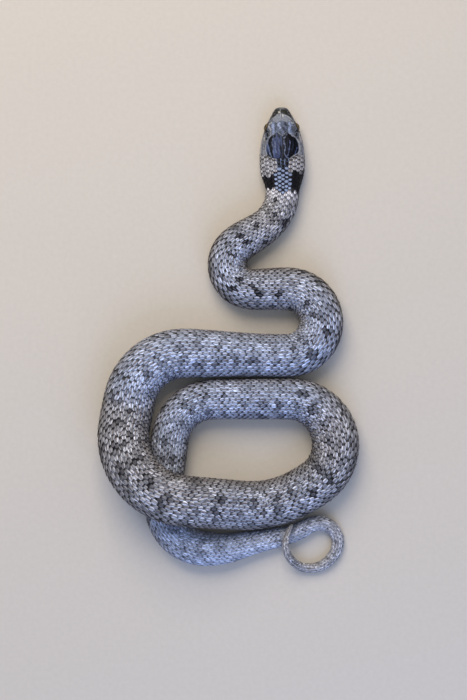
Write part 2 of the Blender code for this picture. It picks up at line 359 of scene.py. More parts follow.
# Where a bend squeezes the flank, the hide gathers in shallow folds across the body.
FOLD_SPACING = 3.6
FOLD_DEPTH = 0.35


def sampled(distance, way):
    """Point, normal and stretch of the hide at a distance from the snout and a way round."""
    row = np.clip(distance / STEP, 0.0, len(body_grid) - 1.001)
    column = np.clip((way + 1) * WAYS_ROUND, 0.0, 2 * WAYS_ROUND - 0.001)
    i, j = row.astype(int), column.astype(int)
    f, g = (row - i)[..., None], (column - j)[..., None]
    near = body_grid[i, j] * (1 - g) + body_grid[i, j + 1] * g
    far = body_grid[i + 1, j] * (1 - g) + body_grid[i + 1, j + 1] * g
    mixed = near * (1 - f) + far * f
    return mixed[..., :3], unit(mixed[..., 3:6]), mixed[..., 6]


def ramp(value, start, end):
    """0 at start and 1 at end, eased at both."""
    t = np.clip((value - start) / (end - start), 0.0, 1.0)
    return t * t * (3 - 2 * t)


def on_body(distance, way, height):
    """Points in metres at a height over the hide's full size, with its folds."""
    point, normal, stretched = sampled(distance, way)
    fold = ramp(stretched, 0.8, 0.45) * FOLD_DEPTH
    height = height - fold * (0.5 + 0.5 * np.cos(2 * np.pi * distance / FOLD_SPACING))
    return MM * (point + height[..., None] * normal)


# --- Rows of scales and markings ---------------------------------------------------------------------
# Twenty-three rows of horny scales run along the trunk, fewer on the nape and the tail. Each scale lies
# half a length on from its neighbours. Dark spots stand in lengthwise rows and a black collar crosses the
# nape behind pale temples; the same marks are on the hide between the scales.

SCALE_LENGTHS = (  # distance from the snout, spacing of the scales along the body
    (12.0, 1.2), (18.0, 1.35), (26.0, 1.45), (40.0, 1.75), (60.0, 1.9), (100.0, 2.0), (150.0, 2.1),
    (200.0, 2.15), (260.0, 2.1), (310.0, 1.95), (350.0, 1.85), (400.0, 1.7), (430.0, 1.5), (465.0, 1.15),
    (481.0, 0.9),
)
HALF_ROWS = (  # rows on each side of the middle of the back
    (12.0, 11.0), (18.0, 9.4), (28.0, 9.0), (42.0, 10.6), (60.0, 11.5), (270.0, 11.5), (300.0, 10.5),
    (380.0, 10.5), (402.0, 8.5), (420.0, 6.5), (440.0, 4.5), (460.0, 3.5), (476.0, 2.5), (481.0, 2.5),
)
# The way round at which the small scales end and the belly plates begin.
BACK_EDGE = ((0.0, 0.9), (13.0, 0.9), (23.0, 0.76), (400.0, 0.75), (425.0, 0.78), (481.0, 0.8))
CROWN_SQUEEZE = 0.22  # rows on the crown are narrower than the mean by this share, those low down wider
FULL_ROWS = 11.5  # rows on each flank of the trunk
SPOT_ROWS = (-9.3, -5.6, -1.9, 1.9, 5.6, 9.3)
STRAY_ROWS = (-7.4, -3.9, 0.1, 3.8, 7.5)  # rows between, where only some spots stand
SPOT_SPACING, MOST_SPOTS = 6.2, 90
SPOT_LENGTH, SPOT_ROW_SPAN = 1.4, 1.15  # half length in mm and half width in rows of a dark spot

count_along = np.cumsum(STEP * crown_rate / through(SCALE_LENGTHS, run))
spot_dice = np.random.default_rng(11).random((len(SPOT_ROWS + STRAY_ROWS), MOST_SPOTS, 3))


def girth_at(distance):
    """How long the way from the middle of the back to the middle of the belly is, in millimetres."""
    return np.interp(distance, run, half_girth)


def squeezed(share):
    return share * (1 - CROWN_SQUEEZE + CROWN_SQUEEZE * share * share)


def row_way(share, distance):
    """Way round the body of a share of the rows' span, from 0 on the crown to 1 at the belly plates."""
    return through(BACK_EDGE, distance) * squeezed(share)


way_share = np.linspace(-1.4, 1.4, 561)


def spots(distance, way, wider=1.0):
    """How dark the hide is with its small spots, from 0 to 1."""
    share = np.interp(way / through(BACK_EDGE, distance), squeezed(way_share), way_share)
    row = share * FULL_ROWS
    black = np.zeros_like(distance)
    for index, spot_row in enumerate(SPOT_ROWS + STRAY_ROWS):
        which = np.clip(np.round(distance / SPOT_SPACING).astype(int), 0, MOST_SPOTS - 1)
        dice = spot_dice[index, which]
        from_spot = distance - which * SPOT_SPACING - (dice[..., 0] - 0.5) * 1.9
        from_row = row - spot_row - (dice[..., 1] - 0.5) * 1.0
        size = 0.6 + 0.6 * dice[..., 2] - 0.15 * (abs(spot_row) > 9)
        reach = np.hypot(from_spot / (SPOT_LENGTH * size), from_row / (SPOT_ROW_SPAN * size)) / wider
        strength = ramp(dice[..., 2], -0.1, 0.7) * (0.6 if abs(spot_row) == 5.6 else 1.0)
        if spot_row in STRAY_ROWS:
            strength = 0.8 * ramp(dice[..., 2], 0.45, 0.9)
        black = np.maximum(black, ramp(reach, 1.3, 0.7) * strength)
    return black * ramp(distance, 29.0, 33.0) * ramp(distance, 478.0, 400.0) ** 0.5


def bands(distance, way):
    """How far the collar, the pale temples, the slate nape and the netted patch behind the crown reach,
    each from 0 to 1."""
    girth_way = way * girth_at(distance)
    side = abs(girth_way)
    wave = 0.5 * np.sin(girth_way * 1.7) + 0.3 * np.sin(girth_way * 4.1 + 1)
    lean = 0.4 * np.sign(girth_way)
    collar = ramp(distance + wave, 21.7 - lean, 22.3 - lean)
    collar *= ramp(distance + 0.6 * wave, 28.4 + lean, 27.6 + lean)
    collar *= ramp(side + 0.3 * wave, 3.0, 3.4)
    netted = ramp(distance + 0.5 * side, 21.0, 20.4) * ramp(side, 2.3, 1.9)
    slate = ramp(side - 0.5 * (distance - 20.2), 1.9, 1.2) * ramp(side, 3.6, 3.0)
    slate = np.maximum(slate, ramp(side + 0.5 * (distance - 17.5), 2.6, 2.0))
    slate *= ramp(distance + 1.1 * side, 30.6, 29.4)
    pale = ramp(distance, 14.0, 16.0) * ramp(distance + wave, 22.6, 21.8)
    behind = ramp(distance + 1.1 * side + wave, 29.4, 30.2) * ramp(distance + side * 0.5, 34.2, 30.6)
    pale = np.maximum(0.3 * pale, behind)
    pale *= (1 - collar) * (1 - slate) * (1 - netted)
    return collar, pale, slate * (1 - collar) * (1 - netted), netted


# --- Skin --------------------------------------------------------------------------------------------
# One unbroken hide from snout to tail tip, thin and dark, which shows as fine lines between the scales.
# It lies under the coat by the depth of a scale.

SCALE_DEPTH = 0.3  # on the thickest part of the body; less where the scales are smaller
SHIELD_ROOM = 0.45  # how much deeper the hide lies under the thick shields of the head
SKIN_RINGS = 480
SKIN_SIDES = 48
SKIN_STRIPS = 4
HIDE_DARK, HIDE_GREY = "#33312f", "#5a5754"
HIDE_PALE, HIDE_BLACK = "#77757a", "#13151d"
HIDE_MOTTLE = 0.6


def depth_at(distance):
    """How deep the coat of scales is, in step with their length."""
    return SCALE_DEPTH * np.clip(through(SCALE_LENGTHS, distance) / 2.15, 0.3, 1.0)


def give(obj, name, values):
    """Stores one number for each point of a mesh as an attribute."""
    made = obj.data.attributes.new(name, "FLOAT", "POINT")
    made.data.foreach_set("value", np.asarray(values, np.float32).ravel())


def read(items, field, kind=float, each=1):
    """One field of all the points, corners or faces of a mesh."""
    found = np.zeros(len(items) * each, kind)
    items.foreach_get(field, found)
    return found.reshape(-1, each) if each > 1 else found


def corner_map(obj, name, values):
    """Stores a UV map, one pair for each face corner."""
    made = obj.data.uv_layers.new(name=name)
    made.data.foreach_set("uv", np.asarray(values, np.float32).ravel())


def wrapped_grid(name, rings, sides, first, last):
    """A plain grid rolled up round the body between two distances. It returns the object, and the
    distance and way round of each of its points, before its long edges are welded."""
    bpy.ops.mesh.primitive_grid_add(x_subdivisions=sides, y_subdivisions=rings, size=2.0)
    made = bpy.context.object
    made.name = name
    made.data.name = name
    flat = read(made.data.vertices, "co", each=3)
    return made, first + (last - first) * (flat[:, 1] + 1) / 2, -flat[:, 0]


def strip_map(obj, distance, way, strips):
    """The hide laid flat: cut into strips along the body, one above the other."""
    corners = read(obj.data.loops, "vertex_index", int)
    starts = read(obj.data.polygons, "loop_start", int)
    sizes = np.diff(np.concatenate((starts, [len(corners)])))
    low, high = distance.min(), distance.max()
    middle = np.add.reduceat(distance[corners], starts) / sizes
    strip = np.repeat(np.clip(np.floor((middle - low) / (high - low) * strips), 0, strips - 1), sizes)
    u = (distance[corners] - low) / (high - low) * strips - strip
    v = (strip + 0.5 + 0.48 * way[corners]) / strips
    corner_map(obj, "OFBake", np.column_stack((0.002 + 0.996 * u, v)))


def close_up(obj):
    """Welds the long edges of a rolled grid, fills both ends and points its faces outwards."""
    bpy.ops.object.mode_set(mode="EDIT")
    bpy.ops.mesh.select_all(action="SELECT")
    bpy.ops.mesh.remove_doubles(threshold=1e-6)
    bpy.ops.mesh.select_all(action="DESELECT")
    bpy.ops.mesh.select_non_manifold(extend=False)
    bpy.ops.mesh.fill_holes(sides=0)
    bpy.ops.mesh.select_all(action="SELECT")
    bpy.ops.mesh.normals_make_consistent(inside=False)
    bpy.ops.object.mode_set(mode="OBJECT")
    bpy.ops.object.shade_smooth()


skin, distance, way = wrapped_grid("skin", SKIN_RINGS, SKIN_SIDES, 0.0, SNAKE_LENGTH)
under_shields = SHIELD_ROOM * ramp(distance, 17.0, 14.0)
skin.data.vertices.foreach_set("co", on_body(distance, way, -depth_at(distance) - under_shields).ravel())
collar, pale, slate, netted = bands(distance, way)
black = np.max((spots(distance, way), collar, netted, 0.7 * slate), axis=0)
give(skin, "black", black)
give(skin, "pale", pale)
strip_map(skin, distance, way, SKIN_STRIPS)
close_up(skin)

# Reptile hide between scales: matt, nearly black on the back, greyer where the pattern is pale.
hide, tree, shader = new_material("reptile_hide")
place = add(tree, "TexCoord", out="Object")
black = add(tree, "Attribute.black", out="Fac")
pale = add(tree, "Attribute.pale", out="Fac")
mottle = add(tree, "TexNoise", Vector=place, Scale=1 / (HIDE_MOTTLE * MM), Detail=4.0)
colour = add(tree, "Mix.RGBA", mottle, HIDE_DARK, HIDE_GREY)
colour = add(tree, "Mix.RGBA", pale, colour, HIDE_PALE)
colour = add(tree, "Mix.RGBA", black, colour, HIDE_BLACK)
tree.links.new(colour, shader.inputs["Base Color"])
shader.inputs["Roughness"].default_value = 0.6
shader.inputs["Specular IOR Level"].default_value = 0.35
bump = add(tree, "Bump", Strength=0.4, Distance=0.05 * MM, Height=mottle)
tree.links.new(bump, shader.inputs["Normal"])
skin.data.materials.append(hide)
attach(skin, "root")
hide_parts(*[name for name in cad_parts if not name.startswith("eye_")])

# --- Scales of back and flanks -----------------------------------------------------------------------
# Horny keeled scales, like long rounded leaves, rooted in front and free behind, each over the next. One
# is modelled and copied over the body, joined into one mesh for each length of it.

KEEL_REACH = 0.14
ACROSS = (-1.0, -0.6, -KEEL_REACH, 0.0, KEEL_REACH, 0.6, 1.0)
ALONG = (-1.0, -0.45, 0.05, 0.5, 0.82, 1.0)
LEAF_WIDTH = (0.62, 0.95, 1.0, 0.8, 0.46, 0.08)  # half width at each station along
TIP_SWEEP = 0.10
DOME = 0.2
KEEL_RISE = 0.36
SCALE_OVERLAP = 1.16  # length over the spacing of a row
SCALE_SPREAD = 1.36  # width over the spacing of the rows
SCALE_TILT = 0.84  # how far the free end stands over the root, as a share of the depth of the coat
ROOT_SUNK = -1.06  # how high the root lies against the full size of the body, in the same shares
BEND_GIVE = 0.3  # how much of a bend's stretch the scales take up in their length
BEND_TILT = 0.6  # squeezed scales stand up more
SIZE_SPREAD, SHIFT_SPREAD, LEAN_SPREAD = 0.08, 0.07, 0.09  # how far single scales differ
SPOT_RAGGED = 0.22  # how far a scale's own chance counts at the margin of a spot
NEAR_SPOT = 1.4  # how many times wider than a spot its dark surround is
STRIP_LENGTH = 36.0  # a piece is laid out in strips: the more of them, the longer its stretch of body
COAT_LENGTHS = (
    ("scales_nape", 12.0, 58.0),
    ("scales_fore_trunk", 58.0, 132.0),
    ("scales_mid_trunk", 132.0, 196.0),
    ("scales_mid_coil", 196.0, 262.0),
    ("scales_hind_trunk", 262.0, 335.0),
    ("scales_rear_trunk", 335.0, 402.0),
    ("scales_tail", 402.0, 480.4),
)
SKY_SHEEN_ALONG = (  # painted bluish reflection of the sky, which also lightens the scales, from the snout to the tail tip
    (12.0, 0.2), (38.0, 0.3), (55.0, 0.8), (75.0, 0.7), (102.0, 0.8), (125.0, 1.3), (165.0, 1.3),
    (190.0, 0.4), (215.0, 0.35), (240.0, 0.6), (262.0, 0.6), (284.0, 0.2), (306.0, 1.0), (335.0, 1.0),
    (366.0, 0.8), (384.0, 0.9), (398.0, 0.95), (421.0, 0.7), (440.0, 0.45), (481.0, 0.1),
)
PEPPER_AND_SHADE_ALONG = (  # how dark the roots and edges of the scales are, partly pigment and partly painted shade
    (12.0, 1.3), (22.0, 1.3), (29.0, 0.7), (45.0, 1.15), (75.0, 1.05), (102.0, 1.0), (125.0, 0.9),
    (160.0, 0.85), (205.0, 1.1), (245.0, 1.0), (270.0, 1.2), (306.0, 0.95), (350.0, 0.95), (376.0, 0.85),
    (394.0, 0.5), (430.0, 0.5), (445.0, 0.6), (481.0, 0.7),
)
SPOTS_ALONG = (  # how black the spots are
    (12.0, 1.0), (75.0, 1.0), (105.0, 0.8), (130.0, 0.6), (165.0, 0.6), (190.0, 0.75), (270.0, 0.75),
    (300.0, 0.65), (376.0, 0.6), (396.0, 0.35), (424.0, 0.35), (438.0, 0.9), (481.0, 0.9),
)
FLANK_ALONG = (  # how much browner the flanks are than the back
    (12.0, 1.0), (96.0, 1.0), (115.0, 0.5), (158.0, 0.5), (185.0, 0.9), (300.0, 0.9), (320.0, 0.7),
    (376.0, 0.7), (396.0, 0.4), (481.0, 0.4),
)
COAT_VALUES = ("black", "near_spot", "collar", "pale", "slate", "netted", "tone", "flank", "bloom", "pepper")
TUCKED_IN, TUCKED_DEPTH = 0.6, 0.3  # how far the first scales reach under the shields, and how deep
HEAD_REAR = (  # where the small scales begin behind the head shields: way from the midline, distance
    (0.0, 17.2), (1.2, 17.6), (3.2, 17.4), (4.8, 16.7), (6.0, 16.1), (9.3, 15.9), (11.0, 14.9), (13.0, 13.0),
    (21.0, 12.8),
)

bpy.ops.mesh.primitive_grid_add(x_subdivisions=len(ACROSS) - 1, y_subdivisions=len(ALONG) - 1, size=2.0)
leaf = bpy.context.object
leaf.name = "one_scale"
for vertex in leaf.data.vertices:
    across = np.interp(vertex.co.x, np.linspace(-1, 1, len(ACROSS)), ACROSS)
    down = np.interp(vertex.co.y, np.linspace(-1, 1, len(ALONG)), ALONG)
    middle = 1 - across * across
    keel = max(0.0, 1 - abs(across) / KEEL_REACH) * np.sin(np.pi * (down + 1) / 2) ** 0.5
    vertex.co = (across, down, DOME * middle * (1 - 0.6 * abs(down) ** 3) + KEEL_RISE * keel)
bpy.ops.object.mode_set(mode="EDIT")
bpy.ops.mesh.select_all(action="DESELECT")
bpy.ops.mesh.select_non_manifold()
bpy.ops.mesh.edge_face_add()
bpy.ops.mesh.select_all(action="SELECT")
bpy.ops.mesh.normals_make_consistent(inside=False)
bpy.ops.object.mode_set(mode="OBJECT")


def shape_of(obj):
    """Points of a modelled piece, its faces as lists of points, and which of them face down. The piece
    itself is removed."""
    points = read(obj.data.vertices, "co", each=3)
    faces = [list(face.vertices) for face in obj.data.polygons]
    under = np.array([face.normal.z < 0 for face in obj.data.polygons])
    bpy.data.objects.remove(obj)
    return points, faces, under


LEAF = shape_of(leaf)


def copies_joined(name, points, shape, cells, cell_grid):
    """One mesh of many like pieces: points[n, k] is point k of piece n. Each piece keeps its own place
    in OFBake, in a cell of a columns-by-rows grid, its faces up in the upper part and its underside in
    the lower. A second map, piece, runs over each piece from 0 to 1."""
    shape_points, shape_faces, under = shape
    count, each = points.shape[:2]
    starts = range(0, count * each, each)
    faces = [[start + corner for corner in face] for start in starts for face in shape_faces]
    data = bpy.data.meshes.new(name)
    data.from_pydata(points.reshape(-1, 3), [], faces)
    made = bpy.data.objects.new(name, data)
    bpy.context.scene.collection.objects.link(made)
    corners = np.concatenate([np.array(face) for face in shape_faces])
    corner_under = np.concatenate([[low] * len(face) for low, face in zip(under, shape_faces)])
    flat = (shape_points[corners, :2] + 1) / 2
    corner_map(made, "piece", np.tile(flat, (count, 1)))
    u = 0.04 + 0.92 * flat[:, 1]
    v = np.where(corner_under, 0.02 + 0.08 * flat[:, 0], 0.14 + 0.82 * flat[:, 0])
    columns, rows = cell_grid
    corner_map(made, "OFBake", np.stack(((cells[:, :1] + u) / columns, (cells[:, 1:] + v) / rows), axis=2))
    data.polygons.foreach_set("use_smooth", np.tile(~under, count))
    return made


def number_at(distance):
    """How many scales of a row there are from the snout to a distance."""
    return np.interp(distance, run, count_along)


def spacing_at(distance):
    return through(SCALE_LENGTHS, distance) / np.interp(distance, run, crown_rate)


def give_at(distance, way, least, most):
    """How much longer or shorter a bend makes the scales at a place, within two limits."""
    return np.clip(sampled(distance, way)[2], least, most)[:, None] ** BEND_GIVE


def head_rear(side):
    """Where the head shields end, at an arc in millimetres from the midline."""
    return np.interp(side, *np.array(HEAD_REAR).T)


def cells_in(count, rows):
    """A cell for each of count pieces in a grid of so many rows, and the size of the grid."""
    columns = int(np.ceil(count / rows))
    strip, column = np.divmod(np.arange(count), columns)
    return np.column_stack((column, strip)), (columns, int(strip.max()) + 1)


def lattice(first, last):
    """Number along, row, distance and way round of the scales whose middle is between two distances."""
    top = number_at(last)
    found = []
    for row in range(-13, 14):
        half = 0.5 if row % 2 else 0.0
        start = np.ceil(number_at(first) - half) + half
        number = np.arange(start, top, 1.0)
        found.append(np.column_stack((number, np.full(len(number), row))))
    number, row = np.concatenate(found).T
    distance = np.interp(number, count_along, run)
    rows_here = through(HALF_ROWS, distance)
    kept = (abs(row) < rows_here - 0.3) & (distance < last)
    number, row, distance, rows_here = (values[kept] for values in (number, row, distance, rows_here))
    way = row_way(row / rows_here, distance)
    kept = distance > head_rear(abs(way) * girth_at(distance)) - TUCKED_IN
    return [values[kept] for values in (number, row, distance, way)]


dice = np.random.default_rng(5)
u, v, leaf_rise = LEAF[0].T
leaf_half = np.interp(v, ALONG, LEAF_WIDTH)
coat_pieces = []
for name, first, last in COAT_LENGTHS:
    number, row, distance, way = lattice(first, last)
    count = len(number)
    size = 1 + SIZE_SPREAD * dice.standard_normal((count, 1))
    shift = SHIFT_SPREAD * dice.standard_normal((count, 1))
    lean = LEAN_SPREAD * dice.standard_normal((count, 1))
    tone = dice.standard_normal(count) - 0.9 * ramp(distance, 24.0, 21.0)
    length = spacing_at(distance)[:, None]
    give_way = give_at(distance, way, 0.3, 2.0)
    tilt = SCALE_TILT * (1 + BEND_TILT * np.maximum(1 / give_way - 1, 0.0))
    reach = 0.5 * SCALE_OVERLAP * size * length / give_way
    at = np.clip(distance[:, None] + shift * length + reach * (v - TIP_SWEEP * u * u), 0.0, SNAKE_LENGTH)
    rows_at = through(HALF_ROWS, at)
    share = (row[:, None] + lean * v - 0.5 * SCALE_SPREAD * size * leaf_half * u) / rows_at
    height = depth_at(distance)[:, None] * (ROOT_SUNK + tilt * (v + 1) / 2 + leaf_rise)
    around = row_way(share, at)
    height -= TUCKED_DEPTH * ramp(head_rear(abs(around) * girth_at(at)) - at, -0.15, 0.35)
    points = on_body(at, around, height)
    steps = number - np.floor(number.min())
    rows_used = 2 * int(abs(row).max()) + 1
    strips = max(1, round(np.sqrt((last - first) / STRIP_LENGTH)))
    columns = int(np.ceil((np.floor(steps).max() + 1) / strips))
    strip, column = np.divmod(np.floor(steps), columns)
    cells = np.column_stack((column, strip * rows_used + row + rows_used // 2))
    made = copies_joined(name, points, LEAF, cells, (columns, strips * rows_used))
    crisp = ramp(spots(distance, way) + SPOT_RAGGED * dice.standard_normal(count), 0.45, 1.0)
    crisp *= through(SPOTS_ALONG, distance)
    browner = ramp(abs(row) / FULL_ROWS, 0.28, 0.68) * through(FLANK_ALONG, distance)
    bloom, pepper = through(SKY_SHEEN_ALONG, at), through(PEPPER_AND_SHADE_ALONG, at)
    values = (crisp, spots(at, around, NEAR_SPOT), *bands(distance, way), tone, browner, bloom, pepper)
    for title, value in zip(COAT_VALUES, values):
        give(made, title, np.broadcast_to(value.reshape(count, -1), at.shape))
    coat_pieces.append(made)

# Dry horn of a snake's scale: a grey-lilac blade with a brown keel, a pale rim and a thin dark edge, satin
# rather than glossy, with fine pits. A painted bluish reflection of the sky tints and lightens blade and rim
# where the sheen share is set, and the dark root and the dark edge are partly pigment and partly painted
# shade.
CROWN_BROWN, BLADE_SHEEN_BLUE, FLANK_BROWN = "#868382", "#858fa4", "#6e6b68"
RIM_WHITE, RIM_SHEEN_BLUE, RIM_FLANK = "#e9e9ec", "#cbdcff", "#98969a"
KEEL_BROWN, ROOT_BROWN, EDGE_DARK = "#5a5150", "#383637", "#2a2a2e"
TEMPLE_GREY, TEMPLE_WHITE, TEMPLE_DOT = "#7c7c86", "#f1f3fb", "#6b625e"
NAPE_SLATE, NAPE_BLUE = "#121624", "#8898b8"
SPOT_BLACK, COLLAR_BLACK = "#10141f", "#0b0c12"
# Size, detail and roughness of grit, blotches and smudges, and of fibres and streaks, whose size is given
# as how many there are across and along one scale.
HORN_GRAINS = ((0.3, 3.0, 0.6), (2.4, 2.0, 0.6), (7.0, 2.0, 0.5))
HORN_FIBRES = (((9.0, 1.6, 1.0), 2.0, 0.6), ((5.0, 0.9, 1.0), 1.0, 0.5))
HORN_PITS = 0.05

horn, tree, shader = new_material("keeled_horn_scale")
black, near_spot, collar, pale, slate, netted, tone, flank, bloom, pepper = [
    add(tree, "Attribute." + name, out="Fac") for name in COAT_VALUES
]
place = add(tree, "TexCoord", out="Object")
spread = add(tree, "UVMap.piece")
from_keel = add(tree, "Math.SUBTRACT", add(tree, "SeparateXYZ", spread, out="X"), 0.5)
down = add(tree, "SeparateXYZ", spread, out="Y")
chances = add(tree, "TexWhiteNoise.1D", W=tone, out="Color")  # each scale has three chances of its own
red, green, blue = [add(tree, "SeparateColor", chances, out=name) for name in ("Red", "Green", "Blue")]
# Fine grit all over, blotches and wide smudges over many scales, and fibres and streaks of worn horn that
# run the length of each scale.
grit, blotch, smudge = [
    add(tree, "TexNoise", Vector=place, Scale=1 / (grain * MM), Detail=detail, Roughness=rough)
    for grain, detail, rough in HORN_GRAINS
]
own = add(tree, "Math.MULTIPLY", tone, 13.0)
lines = []
for stretched, detail, rough in HORN_FIBRES:
    lengthwise = add(tree, "VectorMath.ADD", add(tree, "Mapping", spread, Scale=stretched), own)
    lines.append(add(tree, "TexNoise", Vector=lengthwise, Scale=1.0, Detail=detail, Roughness=rough))
fibre = lines[0]
streaks = add(tree, "MapRange.SMOOTHSTEP", lines[1], 0.4, 0.62)
# A brown keel, and a pale rim that runs round the free end; both are ragged and neither is the same twice.
ragged = add(tree, "Math.MULTIPLY_ADD", fibre, 0.5, -0.25)
astray = add(tree, "Math.ADD", add(tree, "Math.MULTIPLY_ADD", red, 0.14, -0.07), from_keel)
astray = add(tree, "Math.ABSOLUTE", astray)
beside = add(tree, "Math.ADD", astray, ragged)
to_side = add(tree, "Math.MULTIPLY_ADD", astray, 2.0, ragged)
to_tip = add(tree, "MapRange", down, 0.66, 1.0, 0.0, 0.9)
outward = add(tree, "Math.MAXIMUM", to_side, to_tip)
rim_start = add(tree, "MapRange", green, 0.0, 1.0, 0.34, 0.58)
rim = add(tree, "MapRange.SMOOTHSTEP", outward, rim_start, 0.78)
rim = add(tree, "Mix", 0.3, rim, streaks)
strength = add(tree, "Math.ADD", add(tree, "Math.MULTIPLY_ADD", blotch, 4.5, -2.25), tone)
strength = add(tree, "MapRange", strength, -2.0, 1.0, 0.25, 1.0)
strength = add(tree, "Math.MAXIMUM", strength, pale)
rim = add(tree, "Math.MULTIPLY", rim, strength)
lively = add(tree, "MapRange", pepper, 0.2, 0.8, 0.35, 1.0)
rim = add(tree, "Mix", lively, 0.55, rim)
keel = add(tree, "MapRange.SMOOTHSTEP", beside, 0.15, 0.05)
fades = add(tree, "MapRange.SMOOTHSTEP", down, 0.97, 0.8)
for share in (fades, add(tree, "MapRange", blue, 0.0, 1.0, 0.3, 1.0), lively):
    keel = add(tree, "Math.MULTIPLY", keel, share)
keel = add(tree, "Mix", slate, keel, 0.0)
# The pale scales of the temples and the slate ones of the nape have a pale patch in place of the rim.
centred = add(tree, "VectorMath.SUBTRACT", spread, (0.5, 0.62, 0.0))
centred = add(tree, "VectorMath.MULTIPLY", centred, (0.85, 1.25, 1.0))
off_centre = add(tree, "VectorMath.LENGTH", centred, out="Value")
for source, share in ((grit, 0.4), (tone, 0.03)):
    off_centre = add(tree, "Math.MULTIPLY_ADD", source, share, off_centre)
patch = add(tree, "MapRange.SMOOTHSTEP", off_centre, 0.64, 0.42)
rounder = add(tree, "Math.MAXIMUM", add(tree, "Math.MULTIPLY", pale, 0.75), slate)
rim = add(tree, "Mix", rounder, rim, patch)
# A dark root and a thin dark free edge, deeper near the spots, and a brown dot on each pale scale. The dark
# root is partly pigment and partly painted shade under the tip of the scale in front, and the dark edge is
# partly painted shade of the gap beside it.
root_depth = add(tree, "MapRange", green, 0.0, 1.0, 0.1, 0.8)
root_depth = add(tree, "Math.MULTIPLY_ADD", near_spot, 0.45, root_depth)
root_depth = add(tree, "Math.ADD", root_depth, add(tree, "MapRange", smudge, 0.35, 0.65, -0.2, 0.3))
root_depth = add(tree, "Math.MULTIPLY", root_depth, pepper, use_clamp=True)
root = add(tree, "MapRange.SMOOTHSTEP", down, 0.34, 0.14, 0.0, root_depth)
root = add(tree, "Mix", rounder, root, 0.0)
edge = add(tree, "Math.MULTIPLY", add(tree, "Math.ABSOLUTE", from_keel), 2.0)
edge = add(tree, "Math.MAXIMUM", edge, down)
edge = add(tree, "MapRange.SMOOTHSTEP", edge, 0.74, 0.87)
edge_depth = add(tree, "Math.MAXIMUM", add(tree, "MapRange", red, 0.0, 1.0, 0.3, 1.2), near_spot)
edge_depth = add(tree, "Math.MULTIPLY_ADD", flank, 0.5, edge_depth)
edge = add(tree, "Math.MULTIPLY", edge, add(tree, "Math.MULTIPLY", edge_depth, pepper, use_clamp=True))
dot = add(tree, "MapRange.SMOOTHSTEP", off_centre, 0.42, 0.27, 0.0, 0.6)
dot = add(tree, "Math.MULTIPLY", dot, pale)
marked = add(tree, "MapRange.SMOOTHSTEP", beside, 0.04, 0.2, 0.55, 1.0)
marked = add(tree, "Math.MULTIPLY", black, marked, use_clamp=True)
net = add(tree, "MapRange.SMOOTHSTEP", outward, 0.5, 0.78, 0.0, 0.8)
net = add(tree, "Mix.RGBA", net, COLLAR_BLACK, NAPE_BLUE)
# Painted reflection of the sky: the sheen share turns the rim and the blade blue.
pale_rim = add(tree, "Mix.RGBA", bloom, RIM_WHITE, RIM_SHEEN_BLUE)
for share, hexed in ((flank, RIM_FLANK), (pale, TEMPLE_WHITE), (slate, NAPE_BLUE)):
    pale_rim = add(tree, "Mix.RGBA", share, pale_rim, hexed)
blade = add(tree, "Mix.RGBA", bloom, CROWN_BROWN, BLADE_SHEEN_BLUE)
for share, hexed in ((flank, FLANK_BROWN), (pale, TEMPLE_GREY), (slate, NAPE_SLATE)):
    blade = add(tree, "Mix.RGBA", share, blade, hexed)
blade = add(tree, "Mix.RGBA", rim, blade, pale_rim)
for share, hexed in (
    (root, ROOT_BROWN), (keel, KEEL_BROWN), (edge, EDGE_DARK), (dot, TEMPLE_DOT), (marked, SPOT_BLACK),
    (collar, COLLAR_BLACK),
):
    blade = add(tree, "Mix.RGBA", share, blade, hexed)
blade = add(tree, "Mix.RGBA", netted, blade, net)
# The sheen share also lightens the blade: painted light.
light = add(tree, "Math.MULTIPLY_ADD", tone, 0.15, -0.21)
for source, share in (
    (near_spot, -0.16), (streaks, 0.34), (add(tree, "Math.MULTIPLY", pale, pale), 0.24), (blotch, 0.3),
    (grit, 0.6), (fibre, 0.75), (smudge, 0.8), (bloom, 0.24),
):
    light = add(tree, "Math.MULTIPLY_ADD", source, share, light)
blade = add(tree, "Mix.RGBA", 1.0, blade, light, blend_type="MULTIPLY")
tree.links.new(blade, shader.inputs["Base Color"])
tree.links.new(add(tree, "MapRange", grit, 0.3, 0.7, 0.42, 0.6), shader.inputs["Roughness"])
shader.inputs["Specular IOR Level"].default_value = 0.16
bump = add(tree, "Bump", Strength=0.5, Distance=HORN_PITS * MM, Height=add(tree, "Math.ADD", grit, fibre))
tree.links.new(bump, shader.inputs["Normal"])
for made in coat_pieces:
    made.data.materials.append(horn)
    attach(made, "root")

# --- Belly plates -------------------------------------------------------------------------------------
# One broad smooth plate across the belly for each scale of a row along the back, its ends turned up the
# flanks, and paired plates under the tail. Pale horn, chequered with black.

PLATE_ACROSS = 10
PLATE_ROWS, TAIL_PLATE_ROWS = 16, 8  # rows of cells in which the plates are laid out
PLATE_OVERLAP = 1.25
FIRST_PLATE = 13.0
VENT, LAST_PLATE = 402.0, 479.5
TUCK = 0.985  # the ends slip under the lowest row of scales
PLATE_DOME, PLATE_TILT, PLATE_SWEEP = 0.25, 0.78, 0.12

bpy.ops.mesh.primitive_grid_add(x_subdivisions=PLATE_ACROSS, y_subdivisions=2, size=2.0)
plate = bpy.context.object
for vertex in plate.data.vertices:
    vertex.co.z = PLATE_DOME * (1 - vertex.co.y**2) * (1 - vertex.co.x**2) ** 0.5
bpy.ops.object.mode_set(mode="EDIT")
bpy.ops.mesh.select_all(action="SELECT")
bpy.ops.mesh.duplicate()
bpy.ops.transform.resize(value=(1.0, 1.0, -0.6))
bpy.ops.mesh.select_all(action="SELECT")
bpy.ops.mesh.remove_doubles(threshold=1e-4)
bpy.ops.mesh.normals_make_consistent(inside=False)
bpy.ops.object.mode_set(mode="OBJECT")
PLATE = shape_of(plate)

